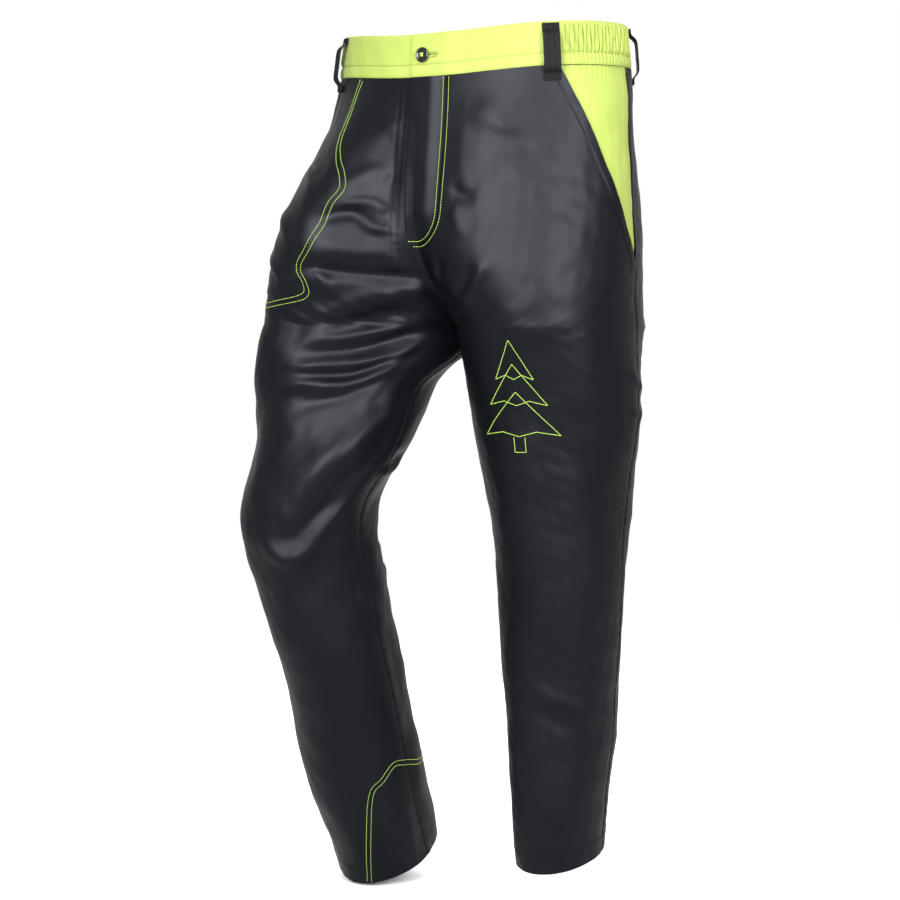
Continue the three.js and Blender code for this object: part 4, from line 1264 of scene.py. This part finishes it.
button_across = unit(joined_point(0.03, -25.0, 0, 0) - joined_point(0.0, -25.0, 0, 0))
button_down = joined_point(BUTTON_SHARE, -49.0, 0, 0) - joined_point(BUTTON_SHARE, -1.0, 0, 0)
button_down = unit(button_down - button_across * (button_down @ button_across))
button_out = -np.cross(button_across, button_down)
if button_out[1] > 0:
    button_out = -button_out
low_corner, high_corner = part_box("waist_button")
button_back = np.array((low_corner + high_corner) / 2) * 1000 - button_out * BUTTON_THICK / 2
basis = np.stack([button_across, np.cross(button_out, button_across), button_out], -1)
place = Matrix.Identity(4)
for row in range(3):
    for column in range(3):
        place[row][column] = basis[row, column]
    place[row][3] = button_back[row] / 1000

R = BUTTON_RADIUS
BUTTON_PROFILE = [
    (0, 0),
    (R - 2.2, 0),
    (R - 1.2, 0.25),
    (R - 0.3, 0.9),
    (R, 1.5),
    (R - 0.12, 2.1),
    (R - 0.55, 2.6),
    (R - 1.15, 2.85),
    (R - 1.75, 2.8),
    (R - 2.3, 2.45),
    (R - 2.9, 2.0),
    (R - 3.8, 1.85),
    (2.0, 1.9),
    (0, 1.9),
]
button = turned("button_four_hole", BUTTON_PROFILE, button_black)
for x, y in ((HOLE, HOLE), (HOLE, -HOLE), (-HOLE, HOLE), (-HOLE, -HOLE)):
    cut_away(button, new_object("hole", *rod(1.0, (x, y, -2), (x, y, 5)), button_black))
button.data.polygons.foreach_set("use_smooth", [True] * len(button.data.polygons))
button.data.set_sharp_from_angle(angle=math.radians(40))
button.data.transform(place)
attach(button, "button")
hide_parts("waist_button")

# a shank to the band, a strand up each hole with its run below, and a cross of three strands each way
strands = [((0, 0, -4.0), (0, 0, -0.2), 1.15)]
for x in (-HOLE, HOLE):
    for y in (-HOLE, HOLE):
        strands.append(((x, y, -0.9), (x, y, 2.25), 0.42))
        strands.append(((x * 0.35, y * 0.9, -0.75), (x, y, -0.75), 0.42))
for k in (-0.42, 0.0, 0.42):
    strands.append(((-1.95 + k, -1.95 - k, 2.3), (1.95 + k, 1.95 - k, 2.6), 0.36))
    strands.append(((-1.95 + k, 1.95 + k, 2.75), (1.95 + k, -1.95 + k, 2.45), 0.36))
thread_points = []
thread_faces = []
for start, end, radius in strands:
    points, faces = rod(radius, start, end, 10)
    thread_faces += [tuple(corner + len(thread_points) for corner in face) for face in faces]
    thread_points += list(points)
sewing = new_object("button_sewing", np.array(thread_points), thread_faces, thread_yellow)
sewing.data.transform(place)
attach(sewing, "button")
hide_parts("button_thread")


def on_band(a, b, lift=0.0):
    """A point a mm across and b mm down from the button's middle, on the face of the left band."""
    s = BUTTON_SHARE + a / half_turn
    z = -BAND_HEIGHT / 2 - b
    return joined_point(s, z, raised_band(s, z) + lift, 0)


# the sewn edge of the buttonhole: along one side, round the outer end and back along the other
SLOT_START = -1.8
SLOT_END = 15.4
SLOT_ROUND = 1.5
edge_way = [(a, -SLOT_ROUND, 0, -1) for a in np.linspace(SLOT_START, SLOT_END, 26)]
for angle in np.linspace(-math.pi / 2, math.pi / 2, 9):
    way_a = math.cos(angle)
    way_b = math.sin(angle)
    edge_way.append((SLOT_END + SLOT_ROUND * way_a, SLOT_ROUND * way_b, way_a, way_b))
edge_way += [(a, SLOT_ROUND, 0, 1) for a in np.linspace(SLOT_END, SLOT_START, 26)]
slot_rows = []
for a, b, way_a, way_b in edge_way:
    points = [on_band(a + way_a * far, b + way_b * far, lift) for far, lift in ((0, 0.1), (1.1, 0.2), (2.2, 0))]
    slot_rows.append((np.stack(points), np.broadcast_to(button_out, (3, 3))))
stitches("stitch_buttonhole", slot_rows, thread_band, pitch=3, radius=0.34, fill=1.0)

slit = [(SLOT_START, -0.8), (SLOT_END, -0.8), (SLOT_END, 0.8), (SLOT_START, 0.8)]
corners = []
for depth in (-3.5, 4.0):
    for a, b in slit:
        corners.append(on_band(a, b, 0) + button_out * depth)
faces = [(0, 1, 2, 3), (7, 6, 5, 4)]
for i in range(4):
    j = (i + 1) % 4
    faces.append((i, i + 4, j + 4, j))
cut_away(left_band, new_object("slit", np.array(corners), faces, yellow))


# ---- CAD nodes that are shown as they are, with their finish ----
METAL = ("teeth_left", "teeth_right", "slider", "pull", "stop_bottom", "stop_top_left", "stop_top_right")
for names, material in ((METAL, brass), (("tape_left", "tape_right"), tape_black)):
    for name in names:
        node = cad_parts[f"zip_{name}"]
        node.data.materials.clear()
        node.data.materials.append(material)


# ---- stage, lights and camera ----
MIDDLE = Vector((0, 0, -0.53))
FLOOR = cad_box[0][2] - 0.004
FLOOR_HALF = 9


def stage_material():
    """Pale paper, which far from the object glows as evenly as the sky so that no horizon shows."""
    material, tree, shader = shader_tree(
        "studio_white", Base_Color=(0.42, 0.42, 0.42, 1), Roughness=1, Specular_IOR_Level=0
    )
    place = add_node(tree, "TexCoord").outputs["Object"]
    distance = add_node(tree, "VectorMath", place)
    distance.operation = "LENGTH"
    far = map_range(tree, distance.outputs["Value"], "SMOOTHSTEP", From_Min=1.2, From_Max=2.6)
    glow = add_node(tree, "Emission", Strength=1.0)
    blend = add_node(tree, "MixShader", far, shader.outputs[0], glow.outputs[0])
    tree.links.new(blend.outputs[0], tree.nodes["Material Output"].inputs["Surface"])
    return material


def around(azimuth, elevation, distance):
    """A point seen from the middle: azimuth 0 is straight in front, and turns towards the wearer's left."""
    a = math.radians(azimuth)
    e = math.radians(elevation)
    return MIDDLE + Vector((math.sin(a) * math.cos(e), -math.cos(a) * math.cos(e), math.sin(e))) * distance


def look_from(name, data, azimuth, elevation, distance):
    """An object at a point around the middle, turned to look at it."""
    made = bpy.data.objects.new(name, data)
    made.location = around(azimuth, elevation, distance)
    made.rotation_euler = (MIDDLE - made.location).to_track_quat("-Z", "Y").to_euler()
    bpy.context.scene.collection.objects.link(made)
    return made


def area_light(name, azimuth, elevation, distance, power, width, height):
    light = bpy.data.lights.new(name, "AREA")
    light.shape = "RECTANGLE"
    light.size = width
    light.size_y = height
    light.energy = power
    look_from(name, light, azimuth, elevation, distance)


floor_mesh = bpy.data.meshes.new("studio_floor")
floor_corners = [(x * FLOOR_HALF, y * FLOOR_HALF, FLOOR) for x, y in ((-1, -1), (1, -1), (1, 1), (-1, 1))]
floor_mesh.from_pydata(floor_corners, [], [(0, 1, 2, 3)])
floor_mesh.materials.append(stage_material())
floor = bpy.data.objects.new("studio_floor", floor_mesh)
bpy.context.scene.collection.objects.link(floor)

world = bpy.data.worlds.new("studio")
bpy.context.scene.world = world
world.use_nodes = True
sky = world.node_tree.nodes["Background"]
sky.inputs["Color"].default_value = (1, 1, 1, 1)
sky.inputs["Strength"].default_value = 1.0
bpy.context.scene.view_settings.view_transform = "Standard"

area_light("front", 11, 19, 2.6, 205, 1.0, 1.2)
area_light("side", 60, 17, 2.6, 190, 0.9, 1.3)
area_light("high", 26, 46, 2.6, 75, 1.0, 1.0)
area_light("back", 215, 42, 2.8, 230, 1.6, 1.6)

lens = bpy.data.cameras.new("camera")
lens.lens = 83.4
lens.sensor_width = 36
lens.shift_x = -0.04
lens.shift_y = 0.0167
bpy.context.scene.camera = look_from("camera", lens, 35, 5.5, 2.6)
